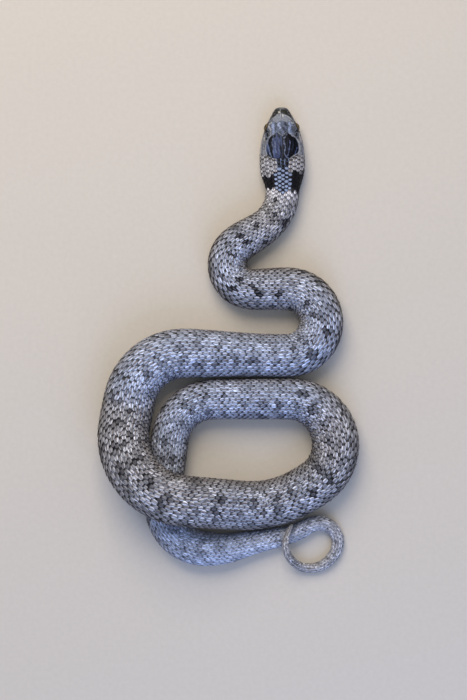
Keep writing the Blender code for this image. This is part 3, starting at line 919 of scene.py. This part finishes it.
u, v, plate_rise = PLATE[0].T
number = np.arange(np.ceil(number_at(FIRST_PLATE)), number_at(VENT), 1.0)
distance = np.interp(number, count_along, run)
give_way = give_at(distance, np.ones(len(number)), 0.5, 1.5)
distance = distance[:, None]
reach = 0.5 * PLATE_OVERLAP * spacing_at(distance) / give_way
at = distance + reach * (v + PLATE_SWEEP * (1 - u * u))
turned_up = 1 - TUCK * through(BACK_EDGE, at) + 0.03 * ramp(at, 26.0, 16.0)
way = np.where(u < 0, -1.0, 1.0) * (1 - abs(u) * turned_up)
points = on_body(at, way, depth_at(distance) * (-1.0 + PLATE_TILT * (v + 1) / 2 + plate_rise))
belly = copies_joined("belly_plates", points, PLATE, *cells_in(len(number), PLATE_ROWS))
chequer = np.random.default_rng(3).random((len(number), PLATE_ACROSS + 1))
block = np.round((u + 1) / 2 * PLATE_ACROSS).astype(int)
darker = 0.35 + 0.35 * ramp(distance, 60.0, 260.0)
give(belly, "black", ramp(darker - chequer[:, block // 2], -0.06, 0.06))

number = np.arange(number_at(VENT), number_at(LAST_PLATE), 1.0)
number = np.concatenate((number, number + 0.5))
side = np.where(np.arange(len(number)) < len(number) / 2, 1.0, -1.0)[:, None]
distance = np.interp(number, count_along, run)[:, None]
u, v, leaf_rise = LEAF[0].T
reach = 0.55 * PLATE_OVERLAP * through(SCALE_LENGTHS, distance)
at = np.clip(distance + reach * (v - TIP_SWEEP * u * u), 0.0, SNAKE_LENGTH)
way = side * (1 - (1 - through(BACK_EDGE, at)) * (0.5 + 0.56 * leaf_half * u))
way = np.where(abs(way) > 1, way - 2 * np.sign(way), way)
points = on_body(at, way, depth_at(distance) * (ROOT_SUNK + SCALE_TILT * (v + 1) / 2 + 0.4 * leaf_rise))
under_tail = copies_joined("tail_plates", points, LEAF, *cells_in(len(number), TAIL_PLATE_ROWS))
chequer = np.random.default_rng(4).random((len(number), 1))
give(under_tail, "black", np.repeat(ramp(chequer, 0.45, 0.55), len(u)))

# Belly horn: thin, smooth and glossy, bone-white with slate-black blocks.
BELLY_PALE, BELLY_BLACK = "#b7b6ae", "#1e2025"
BELLY_CLOUD = 1.2
belly_horn, tree, shader = new_material("smooth_belly_horn")
black = add(tree, "Attribute.black", out="Fac")
place = add(tree, "TexCoord", out="Object")
cloud = add(tree, "TexNoise", Vector=place, Scale=1 / (BELLY_CLOUD * MM), Detail=4.0)
ragged = add(tree, "Math.MULTIPLY_ADD", cloud, 0.7, -0.35)
black = add(tree, "MapRange.SMOOTHSTEP", add(tree, "Math.ADD", black, ragged), 0.44, 0.56)
cloud = add(tree, "MapRange", cloud, 0.25, 0.75, 0.8, 1.1)
horn_colour = add(tree, "Mix.RGBA", black, BELLY_PALE, BELLY_BLACK)
horn_colour = add(tree, "Mix.RGBA", 1.0, horn_colour, cloud, blend_type="MULTIPLY")
tree.links.new(horn_colour, shader.inputs["Base Color"])
shader.inputs["Roughness"].default_value = 0.34
for made in (belly, under_tail):
    made.data.materials.append(belly_horn)
    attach(made, "root")

# --- Eyes --------------------------------------------------------------------------------------------
# Round eyes under a clear scale, with no lids. Each faces outwards, turned forward and up, and stands a
# little proud of its socket, with a round black pupil in a ring of gold and a brown iris.

EYE_RADIUS, EYE_BULGE = 1.56, 1.12
EYE_FORWARD, EYE_UPWARD = np.radians(22), np.radians(18)
SOCKET_RADIUS, SOCKET_DEPTH = 1.62, 0.35
UNDER_BROW = 0.26  # how much less the radius of the socket is under the brow
BROW_HEIGHT = 0.55
eyes = []
for name, side in (("eye_left", -1.0), ("eye_right", 1.0)):
    low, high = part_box(name)
    centre = np.array((low + high) / 2) / MM
    aside, ahead = np.cos(EYE_UPWARD) * np.cos(EYE_FORWARD), np.cos(EYE_UPWARD) * np.sin(EYE_FORWARD)
    facing = np.array((side * aside, ahead, np.sin(EYE_UPWARD)))
    over = unit(np.array((0.0, 0.0, 1.0)) - facing[2] * facing)
    beside = np.cross(over, facing)
    bpy.ops.mesh.primitive_uv_sphere_add(segments=40, ring_count=24, radius=1.0)
    ball = bpy.context.object
    ball.name = name + "_ball"
    ball.data.name = ball.name
    local = read(ball.data.vertices, "co", each=3)
    turned = local * (EYE_RADIUS, EYE_RADIUS, EYE_BULGE) @ np.array((beside, over, facing))
    ball.data.vertices.foreach_set("co", (MM * (centre + turned)).ravel())
    corners = read(ball.data.loops, "vertex_index", int)
    corner_map(ball, "iris_plan", (local[corners, :2] + 1) / 2)
    ball.data.shade_smooth()
    eyes.append((ball, name, centre, facing, over))

# Living eye under its clear scale: wet gloss over a brown iris, brighter above, with a gold inner ring.
PUPIL_BLACK, EYE_RIM = "#050505", "#14110f"
IRIS_GOLD, IRIS_BROWN, IRIS_UPPER = "#a08650", "#33261a", "#66532f"
eye_clear, tree, shader = new_material("eye_under_clear_scale")
flat_plan = add(tree, "UVMap.iris_plan")
from_middle = add(tree, "VectorMath.SUBTRACT", flat_plan, (0.5, 0.5, 0.0))
off = add(tree, "VectorMath.LENGTH", from_middle, out="Value")
upper = add(tree, "MapRange.SMOOTHSTEP", add(tree, "SeparateXYZ", from_middle, out="Y"), 0.05, 0.3)
fleck = add(tree, "TexNoise", Vector=flat_plan, Scale=30.0, Detail=4.0)
waver = add(tree, "MapRange", fleck, 0.3, 0.7, -0.012, 0.012)
ragged_off = add(tree, "Math.ADD", off, waver)
iris = add(tree, "Mix.RGBA", upper, IRIS_BROWN, IRIS_UPPER)
flecked = add(tree, "MapRange", fleck, 0.3, 0.7, 0.45, 1.35)
iris = add(tree, "Mix.RGBA", 0.6, iris, flecked, blend_type="MULTIPLY")
for inner, outer, way_off, colour in ((0.31, 0.34, ragged_off, IRIS_GOLD), (0.3, 0.31, off, PUPIL_BLACK)):
    ring = add(tree, "MapRange.SMOOTHSTEP", way_off, inner, outer, 1.0, 0.0)
    iris = add(tree, "Mix.RGBA", ring, iris, colour)
iris = add(tree, "Mix.RGBA", add(tree, "MapRange.SMOOTHSTEP", off, 0.36, 0.42), iris, EYE_RIM)
tree.links.new(iris, shader.inputs["Base Color"])
shader.inputs["Roughness"].default_value = 0.22
shader.inputs["Coat Weight"].default_value = 1.0
shader.inputs["Coat Roughness"].default_value = 0.03
shader.inputs["Coat IOR"].default_value = 1.36
shader.inputs["Specular IOR Level"].default_value = 0.05
for ball, name, *_ in eyes:
    ball.data.materials.append(eye_clear)
    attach(ball, "root")
    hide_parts(name)


def about_eye(points, centre, facing, over):
    """How far points lie out the way an eye faces, how far beside its middle and how much above it, and
    the radius of the socket there."""
    away = points - centre
    out = away @ facing
    beside = np.linalg.norm(away - out[:, None] * facing, axis=1)
    above = ramp(away @ over / np.maximum(beside, 0.1), 0.2, 0.8)
    return out, beside, above, SOCKET_RADIUS - UNDER_BROW * above


def sunk_for_eyes(points, brow_height=0.0):
    """Points in metres, pressed in where an eye sits and raised into a brow over it."""
    moved = points / MM
    for _, _, centre, facing, over in eyes:
        out, beside, above, edge = about_eye(moved, centre, facing, over)
        sunk = np.minimum(out, -SOCKET_DEPTH + 0.5 * ramp(beside, edge - 0.25, edge))
        open_part = ramp(beside, edge + 0.16, edge - 0.04) * (out > -0.8)
        brow = above * ramp(beside, edge - 0.02, edge + 0.14) * ramp(beside, 2.4, 1.75)
        raised = brow * np.maximum(brow_height - out, 0.0) * (out > -0.8)
        moved = moved + (open_part * (sunk - out) + raised)[:, None] * facing
    return MM * moved


skin.data.vertices.foreach_set("co", sunk_for_eyes(read(skin.data.vertices, "co", each=3)).ravel())

# --- Head shields ------------------------------------------------------------------------------------
# Large smooth plates that fit edge to edge over the skull, the lips and the chin, with fine seams. They
# are laid out on the head unrolled: distance from the snout, and the way round from the midline.

SHIELDS = (  # name, then its corners on the right half
    ("rostral", (0.75, 0.0), (0.85, 1.3), (0.75, 2.4), (0.6, 3.5), (-0.3, 3.5)),
    ("internasal", (0.75, 0.0), (0.85, 1.3), (1.3, 1.9), (2.2, 2.2), (2.9, 1.9), (2.1, 0.0)),
    ("nasal_fore", (0.85, 1.3), (0.75, 2.4), (0.9, 2.9), (1.8, 3.4), (1.9, 2.1), (1.3, 1.9)),
    ("nasal_rear", (1.9, 2.1), (1.8, 3.4), (3.0, 4.0), (3.6, 3.1), (2.9, 1.9), (2.2, 2.2)),
    ("prefrontal", (2.1, 0.0), (2.9, 1.9), (3.6, 3.1), (4.3, 3.9), (4.9, 3.3), (5.0, 2.6), (5.6, 1.9),
     (5.0, 0.9), (4.8, 0.0)),
    ("loreal", (3.6, 3.1), (3.0, 4.0), (3.3, 4.9), (4.2, 5.2), (4.3, 3.9)),
    ("preocular", (4.3, 3.9), (4.2, 5.2), (4.5, 6.2), (5.2, 6.6), (5.3, 4.8), (4.9, 3.3)),
    ("supraocular", (4.9, 3.3), (5.0, 2.6), (5.6, 1.9), (6.8, 2.0), (8.7, 1.75), (9.3, 2.5), (9.7, 3.4),
     (9.2, 4.4), (7.8, 4.75), (6.2, 4.65), (5.3, 4.8)),
    ("frontal", (4.8, 0.0), (5.0, 0.9), (5.6, 1.9), (6.8, 2.0), (8.7, 1.75), (10.2, 0.0)),
    ("parietal", (10.2, 0.0), (8.7, 1.75), (9.3, 2.5), (9.7, 3.4), (10.6, 4.7), (12.5, 5.5), (14.5, 5.7),
     (16.0, 5.1), (17.2, 3.6), (17.8, 1.8), (17.3, 0.0)),
    ("postocular", (9.7, 3.4), (9.2, 4.4), (8.4, 4.9), (8.6, 5.7), (9.9, 5.7), (10.6, 4.7)),
    ("postocular", (8.6, 5.7), (8.7, 6.7), (9.9, 6.9), (9.9, 5.7)),
    ("postocular", (8.7, 6.7), (8.2, 7.6), (9.9, 7.9), (9.9, 6.9)),
    ("temporal", (10.6, 4.7), (9.9, 5.7), (9.9, 7.9), (12.3, 8.6), (13.2, 7.2), (12.5, 5.5)),
    ("temporal_rear", (12.5, 5.5), (13.2, 7.2), (16.0, 7.3), (17.0, 6.2), (16.0, 5.1), (14.5, 5.7)),
    ("temporal_rear", (13.2, 7.2), (12.3, 8.6), (15.2, 9.6), (16.8, 9.0), (16.0, 7.3)),
    ("labial", (0.6, 3.5), (0.75, 2.4), (0.9, 2.9), (1.8, 3.4), (1.9, 4.85), (1.0, 4.0)),
    ("labial", (1.9, 4.85), (1.8, 3.4), (3.0, 4.0), (3.3, 4.9), (3.5, 6.1)),
    ("labial", (3.5, 6.1), (3.3, 4.9), (4.2, 5.2), (4.5, 6.2), (5.2, 6.6), (5.8, 7.5), (5.9, 7.9)),
    ("labial", (5.9, 7.9), (5.8, 7.5), (7.9, 7.6), (7.9, 9.0)),
    ("labial", (7.9, 9.0), (7.9, 7.6), (8.2, 7.6), (9.9, 7.9), (9.9, 9.9)),
    ("labial", (9.9, 9.9), (9.9, 7.9), (12.3, 8.6), (12.2, 10.8)),
    ("labial", (12.2, 10.8), (12.3, 8.6), (15.2, 9.6), (15.6, 10.6), (15.0, 11.4)),
    ("mental", (-0.3, 3.5), (0.6, 3.5), (0.9, 4.4), (1.0, 7.0), (-0.3, 6.0)),
)
MOUTH = ((-0.3, 3.5), (0.6, 3.5), (1.0, 4.0), (1.9, 4.85), (3.5, 6.1), (5.9, 7.9), (7.9, 9.0), (9.9, 9.9),
         (12.2, 10.8), (15.0, 11.4))
LOWER_LIP = 1.6
LOWER_SUTURES = (0.8, 2.2, 3.8, 5.6, 7.6, 9.8, 12.2, 15.0)
LIP_BARS = (  # dark bars on the seams of the upper lip
    ((1.9, 4.7), (1.8, 3.6)), ((3.5, 6.0), (3.3, 5.1)), ((5.9, 7.8), (5.8, 7.5)), ((7.9, 8.9), (7.9, 7.9)),
    ((9.9, 9.8), (9.9, 8.4)), ((12.2, 10.6), (12.3, 9.2)),
)
BAR_BLACK, BAR_WIDTH = "#17181b", 0.34
CHIN_SHIELDS = ((1.0, 5.8), (5.8, 10.6))
PAST_MIDLINE = (30.0, 30.0)
GULARS = (  # small scales behind the chin: from, to, and their edges as shares of the way to the midline
    (10.6, 11.8, 0.0, 0.3, 0.65, 1.2), (11.8, 13.1, 0.0, 0.15, 0.5, 0.85, 1.2),
)
NOSTRIL = (1.85, 2.75)
NOSTRIL_RADIUS = 0.42
HEAD_END = 19.8
HEAD_RINGS, HEAD_SIDES = 230, 340
SEAM_WIDTH, SEAM_DEPTH = 0.13, 0.07
SHIELD_DOME, SHIELDS_SUNK = 0.05, 0.07
MOUTH_DEPTH, NOSTRIL_DEPTH = 0.34, 0.6
HEAD_VALUES = ("rim", "pale_rim", "dark_rim", "dark", "glaze", "crown")



def four_sided(name, start, stop, near, far):
    """A shield between two distances, with the arc of its near and far edge at each of them."""
    return name, (start, near[0]), (stop, near[1]), (stop, far[1]), (start, far[0])


shields = list(SHIELDS)
mouth_at = np.array(MOUTH).T
for ends in zip(LOWER_SUTURES, LOWER_SUTURES[1:]):
    lips = np.interp(ends, *mouth_at)
    shields.append(four_sided("lower_labial", *ends, lips, lips + LOWER_LIP))
for ends in CHIN_SHIELDS:
    lips = np.interp(ends, *mouth_at) + LOWER_LIP
    shields.append(four_sided("chin", *ends, lips, PAST_MIDLINE))
for start, stop, *shares in GULARS:
    lips = np.interp((start, stop), *mouth_at) + LOWER_LIP
    edges = [lips + (girth_at((start, stop)) - lips) * share for share in shares]
    shields += [four_sided("chin", start, stop, near, far) for near, far in zip(edges, edges[1:])]


def line_gap(points, stations):
    """Distance from each point to a line through stations."""
    nearest = np.full(len(points), 99.0)
    for start, stop in zip(np.array(stations)[:-1], np.array(stations)[1:]):
        edge = stop - start
        share = np.clip((points - start) @ edge / (edge @ edge), 0.0, 1.0)
        nearest = np.minimum(nearest, np.linalg.norm(points - start - share[:, None] * edge, axis=1))
    return nearest


def within(points, corners):
    """Whether each point lies in an outline."""
    found = np.zeros(len(points), bool)
    for start, stop in zip(corners, np.roll(corners, -1, axis=0)):
        edge = stop - start
        crosses = (start[1] > points[:, 1]) != (stop[1] > points[:, 1])
        rise = edge[1] if abs(edge[1]) > 1e-9 else 1e-9
        found ^= crosses & (points[:, 0] < start[0] + (points[:, 1] - start[1]) * edge[0] / rise)
    return found


ACROSS_MIDLINE = ("rostral", "frontal", "mental")  # single shields: no seam on the midline
# What each shield looks like: its colour, its colour further out, where that begins and is full, how
# pale and how dark its margin is.
SHIELD_LOOKS = {
    "rostral": ("#6e7074", "#55565a", 0.7, 1.6, 0.3, 0.2),
    "internasal": ("#35362f", "#2b2c28", 0.7, 1.7, 0.1, 0.3),
    "nasal_fore": ("#2c2d2a", "#6b6c6c", 2.6, 3.2, 0.1, 0.5),
    "nasal_rear": ("#2b2c2a", "#55575a", 3.2, 3.9, 0.1, 0.5),
    "prefrontal": ("#868c99", "#555860", 2.6, 3.7, 0.4, 0.3),
    "loreal": ("#4a4c50", "#7a7d84", 4.2, 5.0, 0.3, 0.4),
    "preocular": ("#63676f", "#8a8e97", 4.6, 6.0, 0.5, 0.3),
    "supraocular": ("#727f9c", "#555961", 2.9, 4.2, 0.4, 0.1),
    "frontal": ("#656f87", "#566077", 1.0, 1.9, 0.3, 0.2),
    "parietal": ("#0b0d14", "#06080d", 2.0, 4.5, 0.1, 0.0),
    "postocular": ("#3b3e45", "#4c4f56", 5.0, 7.0, 0.6, 0.3),
    "temporal": ("#6d7078", "#8b8e96", 5.5, 8.0, 0.6, 0.3),
    "temporal_rear": ("#7d8089", "#9a9ca4", 5.5, 8.0, 0.6, 0.3),
    "labial": ("#a09c9e", "#c9c3c0", 5.0, 8.0, 0.1, 0.2),
    "mental": ("#b3b3b3", "#bcbcba", 4.0, 6.0, 0.2, 0.3),
    "lower_labial": ("#bdb8b5", "#cbc6c0", 6.0, 9.0, 0.1, 0.1),
    "chin": ("#bab9b3", "#bdbcb6", 8.0, 12.0, 0.2, 0.2),
    "none": ("#3a3d47", "#9b9c9f", 2.5, 6.0, 0.0, 0.0),
}
# Marks that run across the shields and differ from left to right: colour, width, strength, then points
# as distance from the snout and arc from the midline, to the right of the snake seen from behind. The bluish
# strokes on the parietals are painted reflections of the sky, and the pale blue ones on the supraoculars and
# the frontal are painted highlights.
HEAD_MARKS = (
    # Painted reflection of the sky: a broad bluish stroke over the left parietal.
    ("#424f76", 2.3, 0.8, (11.3, -1.9), (13.5, -2.1), (16.3, -1.8)),
    ("#141828", 0.8, 0.6, (12.0, 1.4), (16.0, 1.2)),
    ("#0b0d13", 0.55, 1.0, (10.3, -0.15), (12.5, -0.1), (15.6, -0.15)),
    # Painted reflections of the sky: thin bluish strokes over both parietals.
    ("#7683a3", 0.28, 0.75, (9.3, 1.6), (10.7, 0.5), (12.0, 0.6), (14.0, 0.95), (16.0, 0.6), (17.0, 1.2),
     (17.7, 2.4)),
    ("#63709a", 0.22, 0.75, (11.6, 2.45), (12.9, 2.55), (14.9, 2.15), (16.5, 1.7)),
    ("#4f5c88", 0.28, 0.8, (13.9, 5.0), (14.9, 4.65), (15.8, 4.3)),
    ("#76859f", 0.3, 0.9, (12.9, -4.9), (15.3, -4.3), (16.9, -3.7)),
    ("#8390b0", 0.24, 0.8, (11.8, -2.35), (13.4, -2.5), (15.4, -2.05)),
    ("#64718f", 0.26, 0.8, (10.7, -3.15), (12.0, -3.4), (14.2, -3.05), (16.4, -2.9)),
    ("#5c6883", 0.24, 0.7, (10.9, -1.35), (12.5, -1.05), (14.3, -1.2), (16.2, -0.8)),
    ("#a3a6ae", 0.26, 0.8, (8.9, -2.2), (10.0, -4.2), (11.4, -4.9), (12.7, -5.3), (14.3, -5.7), (15.8, -5.5),
     (17.1, -4.7)),
    ("#abaeb6", 0.26, 0.8, (9.0, 2.3), (10.3, 4.2), (11.6, 5.6), (13.4, 6.2), (14.9, 5.9), (16.1, 4.9),
     (17.2, 2.8)),
    ("#0e1016", 0.32, 0.9, (5.5, -2.1), (6.9, -2.15), (8.4, -2.1)),
    ("#15171c", 0.3, 0.8, (5.5, 1.9), (6.8, 1.95), (8.2, 1.7)),
    ("#16181f", 0.7, 0.9, (9.2, -2.1), (9.6, -1.7)),
    ("#101218", 0.8, 0.95, (8.7, 1.3), (9.8, 0.9)),
    ("#20232c", 0.6, 0.8, (5.5, 1.1), (6.5, 1.4)),
    ("#252934", 0.7, 0.75, (7.2, 0.4), (8.0, 0.8)),
    ("#2b2f3a", 0.6, 0.6, (8.6, -0.9), (9.1, -0.4)),
    ("#838a98", 0.24, 0.7, (8.8, -1.4), (9.9, -0.1), (8.6, 1.5)),
    # Painted highlights: pale blue strokes on the supraoculars and the frontal.
    ("#9fafd6", 0.6, 0.8, (5.9, -3.0), (7.0, -3.1), (8.5, -2.7)),
    ("#9fafd6", 0.5, 0.8, (5.6, 2.5), (6.8, 2.6), (8.1, 2.5)),
    ("#aab9dc", 0.9, 0.7, (5.7, -1.0), (6.4, -1.1), (7.1, -0.6)),
    ("#4b4f58", 0.8, 0.6, (7.0, 3.6), (8.2, 3.7)),
    ("#aeb0b4", 0.3, 0.8, (5.1, -3.5), (6.4, -3.9), (8.0, -3.9), (9.4, -3.9)),
    ("#aeb0b4", 0.3, 0.8, (4.9, 2.7), (5.9, 3.7)),
    ("#9fa3a8", 0.34, 0.8, (0.8, -0.3), (1.9, -0.55), (3.1, -0.3), (4.4, 0.0)),
    ("#c6c7c2", 0.5, 0.9, (1.7, -0.8), (1.8, -0.75)),
    ("#cccdc6", 0.6, 0.9, (2.8, 0.25), (3.1, 0.5)),
    ("#a9acb1", 0.34, 0.8, (2.6, 0.9), (3.3, 2.2), (4.3, 3.7)),
    ("#a9acb1", 0.34, 0.8, (2.2, -0.9), (3.2, -2.1), (4.3, -3.9)),
    ("#0c0d0f", 0.34, 0.9, (0.85, -2.2), (0.75, -0.8)),
    ("#0c0d0f", 0.34, 0.9, (0.95, 0.1), (0.8, 1.7)),
    ("#14151a", 0.9, 0.9, (8.6, -5.3), (10.6, -5.4)),
    ("#14151a", 0.9, 0.9, (8.4, 5.2), (10.3, 5.4)),
    ("#bdb6b9", 0.5, 0.7, (9.2, -6.5), (11.2, -6.4)),
    ("#c9c1c4", 0.6, 0.7, (8.4, 6.4), (10.6, 6.6), (11.6, 6.9)),
    ("#24262c", 0.4, 0.9, (12.4, -7.2), (15.0, -7.6), (17.0, -7.5)),
    ("#24262c", 0.4, 0.9, (11.6, 7.5), (14.2, 7.7), (16.5, 7.6)),
    ("#3a3c44", 0.3, 0.7, (12.9, -6.5), (14.1, -6.2), (14.4, -6.9)),
    ("#3a3c44", 0.3, 0.7, (12.2, 6.7), (13.6, 6.9), (15.4, 6.6)),
    ("#b9b3b7", 0.5, 0.6, (11.9, -8.3), (14.5, -8.7), (16.6, -8.7)),
    ("#b9b3b7", 0.5, 0.6, (11.5, 8.3), (14.5, 8.7), (16.6, 8.7)),
    ("#7d807f", 0.2, 0.9, (1.35, 2.55), (1.7, 2.3), (2.15, 2.35), (2.4, 2.7)),
    ("#7d807f", 0.2, 0.9, (1.35, -2.55), (1.7, -2.3), (2.15, -2.35), (2.4, -2.7)),
)

head, distance, way = wrapped_grid("head_shields", HEAD_RINGS, HEAD_SIDES, 0.0, HEAD_END)
girth_way = way * girth_at(distance)
laid_out = np.column_stack((distance, abs(girth_way)))
rim = np.zeros(len(distance))
looks = {"none": np.ones(len(distance), bool)}
for name, *corners in shields:
    corners = np.array(corners)
    if name in ACROSS_MIDLINE:
        mirrored = corners[::-1] * (1, -1)
        corners = np.concatenate((corners, mirrored[mirrored[:, 1] < 0]))
    inside = within(laid_out, corners)
    rim = np.where(inside, line_gap(laid_out, np.concatenate((corners, corners[:1]))), rim)
    looks[name] = looks.get(name, False) | inside
    looks["none"] &= ~inside
throat_gap = girth_at(distance) - abs(girth_way)
rim = np.where(distance < GULARS[0][0], np.minimum(rim, throat_gap + ramp(distance, 2.0, 1.0)), rim)
colour = np.zeros((len(distance), 4))
pale_rim, dark_rim = np.zeros(len(distance)), np.zeros(len(distance))
for name, where in looks.items():
    inner, outer, begins, full, pale, dark = SHIELD_LOOKS[name]
    blend = ramp(abs(girth_way), begins, full)[:, None]
    mixed = np.array(linear(inner)) * (1 - blend) + np.array(linear(outer)) * blend
    colour[where] = mixed[where]
    pale_rim[where] = pale
    dark_rim[where] = dark
wavy = 0.07 * np.sin(2.1 * distance + 1.7 * girth_way) + 0.02 * np.sin(6.7 * distance - 1.9 * girth_way)
unrolled = np.column_stack((distance + 0.06 * np.sin(5.1 * girth_way + 1.3 * distance), girth_way + wavy))
for index, (hexed, width, strength, *stations) in enumerate(HEAD_MARKS):
    uneven = 0.5 * np.sin(2.9 * distance + index) + 0.4 * np.sin(6.1 * distance + 2 * index)
    half = width / 2 + min(width / 2, 0.14) * uneven
    cover = ramp(line_gap(unrolled, stations) - half, 0.13, -0.1)[:, None] * strength
    colour = colour * (1 - cover) + np.array(linear(hexed)) * cover
bars = np.min([line_gap(np.abs(unrolled), bar) for bar in LIP_BARS], axis=0)
cover = ramp(bars, BAR_WIDTH / 2 + 0.12, BAR_WIDTH / 2 - 0.06)[:, None] * 0.85
colour = colour * (1 - cover) + np.array(linear(BAR_BLACK)) * cover
mouth_gap = line_gap(laid_out, MOUTH)
nostril = np.linalg.norm(laid_out - NOSTRIL, axis=1)
height = -SHIELDS_SUNK - SEAM_DEPTH * ramp(rim, SEAM_WIDTH, 0.0) + SHIELD_DOME * ramp(rim, 0.0, 1.2)
height -= MOUTH_DEPTH * ramp(mouth_gap, 0.24, 0.0) + NOSTRIL_DEPTH * ramp(nostril, NOSTRIL_RADIUS, 0.1)
height -= 0.4 * ramp(distance - head_rear(abs(girth_way)), -0.2, 1.0)
head.data.vertices.foreach_set("co", sunk_for_eyes(on_body(distance, way, height), BROW_HEIGHT).ravel())
# Painted shade: darker in the mouth's groove, in the nostrils and in a ring round each eye socket.
dark = np.maximum(ramp(mouth_gap, 0.24, 0.08), ramp(nostril, NOSTRIL_RADIUS, 0.2))
full_size = on_body(distance, way, np.zeros(len(distance))) / MM
for _, _, centre, facing, over in eyes:
    out, beside, _, edge = about_eye(full_size, centre, facing, over)
    dark = np.maximum(dark, ramp(beside, edge + 0.35, edge + 0.05) * (out > -2.0))
# Painted reflection of the sky on the parietals, stronger on the left one; it also weights the flecks there.
glaze = looks["parietal"] * np.where(girth_way < 0, 0.8, 0.2)
crown = np.maximum(looks["frontal"] | looks["supraocular"], 0.8 * glaze)
for name, values in zip(HEAD_VALUES, (rim, pale_rim, dark_rim, dark, glaze, crown)):
    give(head, name, values)
ground = head.data.attributes.new("ground", "FLOAT_COLOR", "POINT")
ground.data.foreach_set("color", colour.astype(np.float32).ravel())
corners = read(head.data.loops, "vertex_index", int)
corner_map(head, "laid_out", np.column_stack((distance[corners], girth_way[corners])) / 20)
strip_map(head, distance, way, 1)
close_up(head)

# Smooth head horn: thick, glossy plates, mottled blue-grey in front, ink-dark over the crown, with a painted
# bluish reflection of the sky in long streaks over the parietals, strongest on the left one, and each plate
# with a fine pale margin.
# The seams are dark, and so is the painted shade in the mouth's groove, the nostrils and round the eye
# sockets.
PALE_MARGIN, DARK_MARGIN = "#a9b6d0", "#2a2b2f"
PARIETAL_SHEEN_BLUE, FLECK = "#5c6d99", "#262b38"
SEAM_AND_SHADE_DARK = "#17181c"
HEAD_GRAINS = (  # size, detail and roughness of the mottling, the flecks, the waver of a margin, the grain
    (0.4, 5.0, 0.75), (0.8, 4.0, 0.65), (0.5, 2.0, 0.5), (0.18, 2.0, 0.5),
)
plates, tree, shader = new_material("smooth_head_horn")
rim, pale_rim, dark_rim, dark, glaze, crown = [
    add(tree, "Attribute." + name, out="Fac") for name in HEAD_VALUES
]
surface = add(tree, "Attribute.ground", out="Color")
place = add(tree, "TexCoord", out="Object")
mottle, flecks, wander, grain = [
    add(tree, "TexNoise", Vector=place, Scale=1 / (wide * MM), Detail=detail, Roughness=rough)
    for wide, detail, rough in HEAD_GRAINS
]
mottle = add(tree, "MapRange", mottle, 0.33, 0.67, 0.55, 1.3)
surface = add(tree, "Mix.RGBA", 1.0, surface, mottle, blend_type="MULTIPLY")
flecks = add(tree, "MapRange.SMOOTHSTEP", flecks, 0.5, 0.34, 0.0, 0.9)
long_way = add(tree, "Mapping", add(tree, "UVMap.laid_out"), Scale=(5.0, 26.0, 1.0))
sheen_streak = add(tree, "TexNoise", Vector=long_way, Scale=1.0, Detail=3.0, Distortion=0.6)
sheen_streak = add(tree, "MapRange.SMOOTHSTEP", sheen_streak, 0.52, 0.68, 0.0, 0.6)
wander = add(tree, "MapRange", wander, 0.3, 0.7, -0.08, 0.08)
inner = add(tree, "MapRange.SMOOTHSTEP", add(tree, "Math.ADD", rim, wander), 0.3, 0.16, 0.0, 0.6)
# Dark seams between the plates, and the painted shade of mouth, nostrils and eye sockets.
seam_and_shade = add(tree, "Math.MAXIMUM", add(tree, "MapRange", rim, 0.1, 0.0, 0.0, 0.9), dark)
# Painted reflections of the sky streak the parietals.
for share, where, hexed in (
    (flecks, crown, FLECK), (sheen_streak, glaze, PARIETAL_SHEEN_BLUE), (inner, pale_rim, PALE_MARGIN),
    (inner, dark_rim, DARK_MARGIN), (seam_and_shade, 1.0, SEAM_AND_SHADE_DARK),
):
    surface = add(tree, "Mix.RGBA", add(tree, "Math.MULTIPLY", share, where), surface, hexed)
tree.links.new(surface, shader.inputs["Base Color"])
shader.inputs["Roughness"].default_value = 0.38
shader.inputs["Specular IOR Level"].default_value = 0.08
bump = add(tree, "Bump", Strength=0.25, Distance=0.02 * MM, Height=grain)
tree.links.new(bump, shader.inputs["Normal"])
head.data.materials.append(plates)
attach(head, "root")

size = {"cad": [list(corner) for corner in cad_box], "visual": [list(corner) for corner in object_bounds()]}
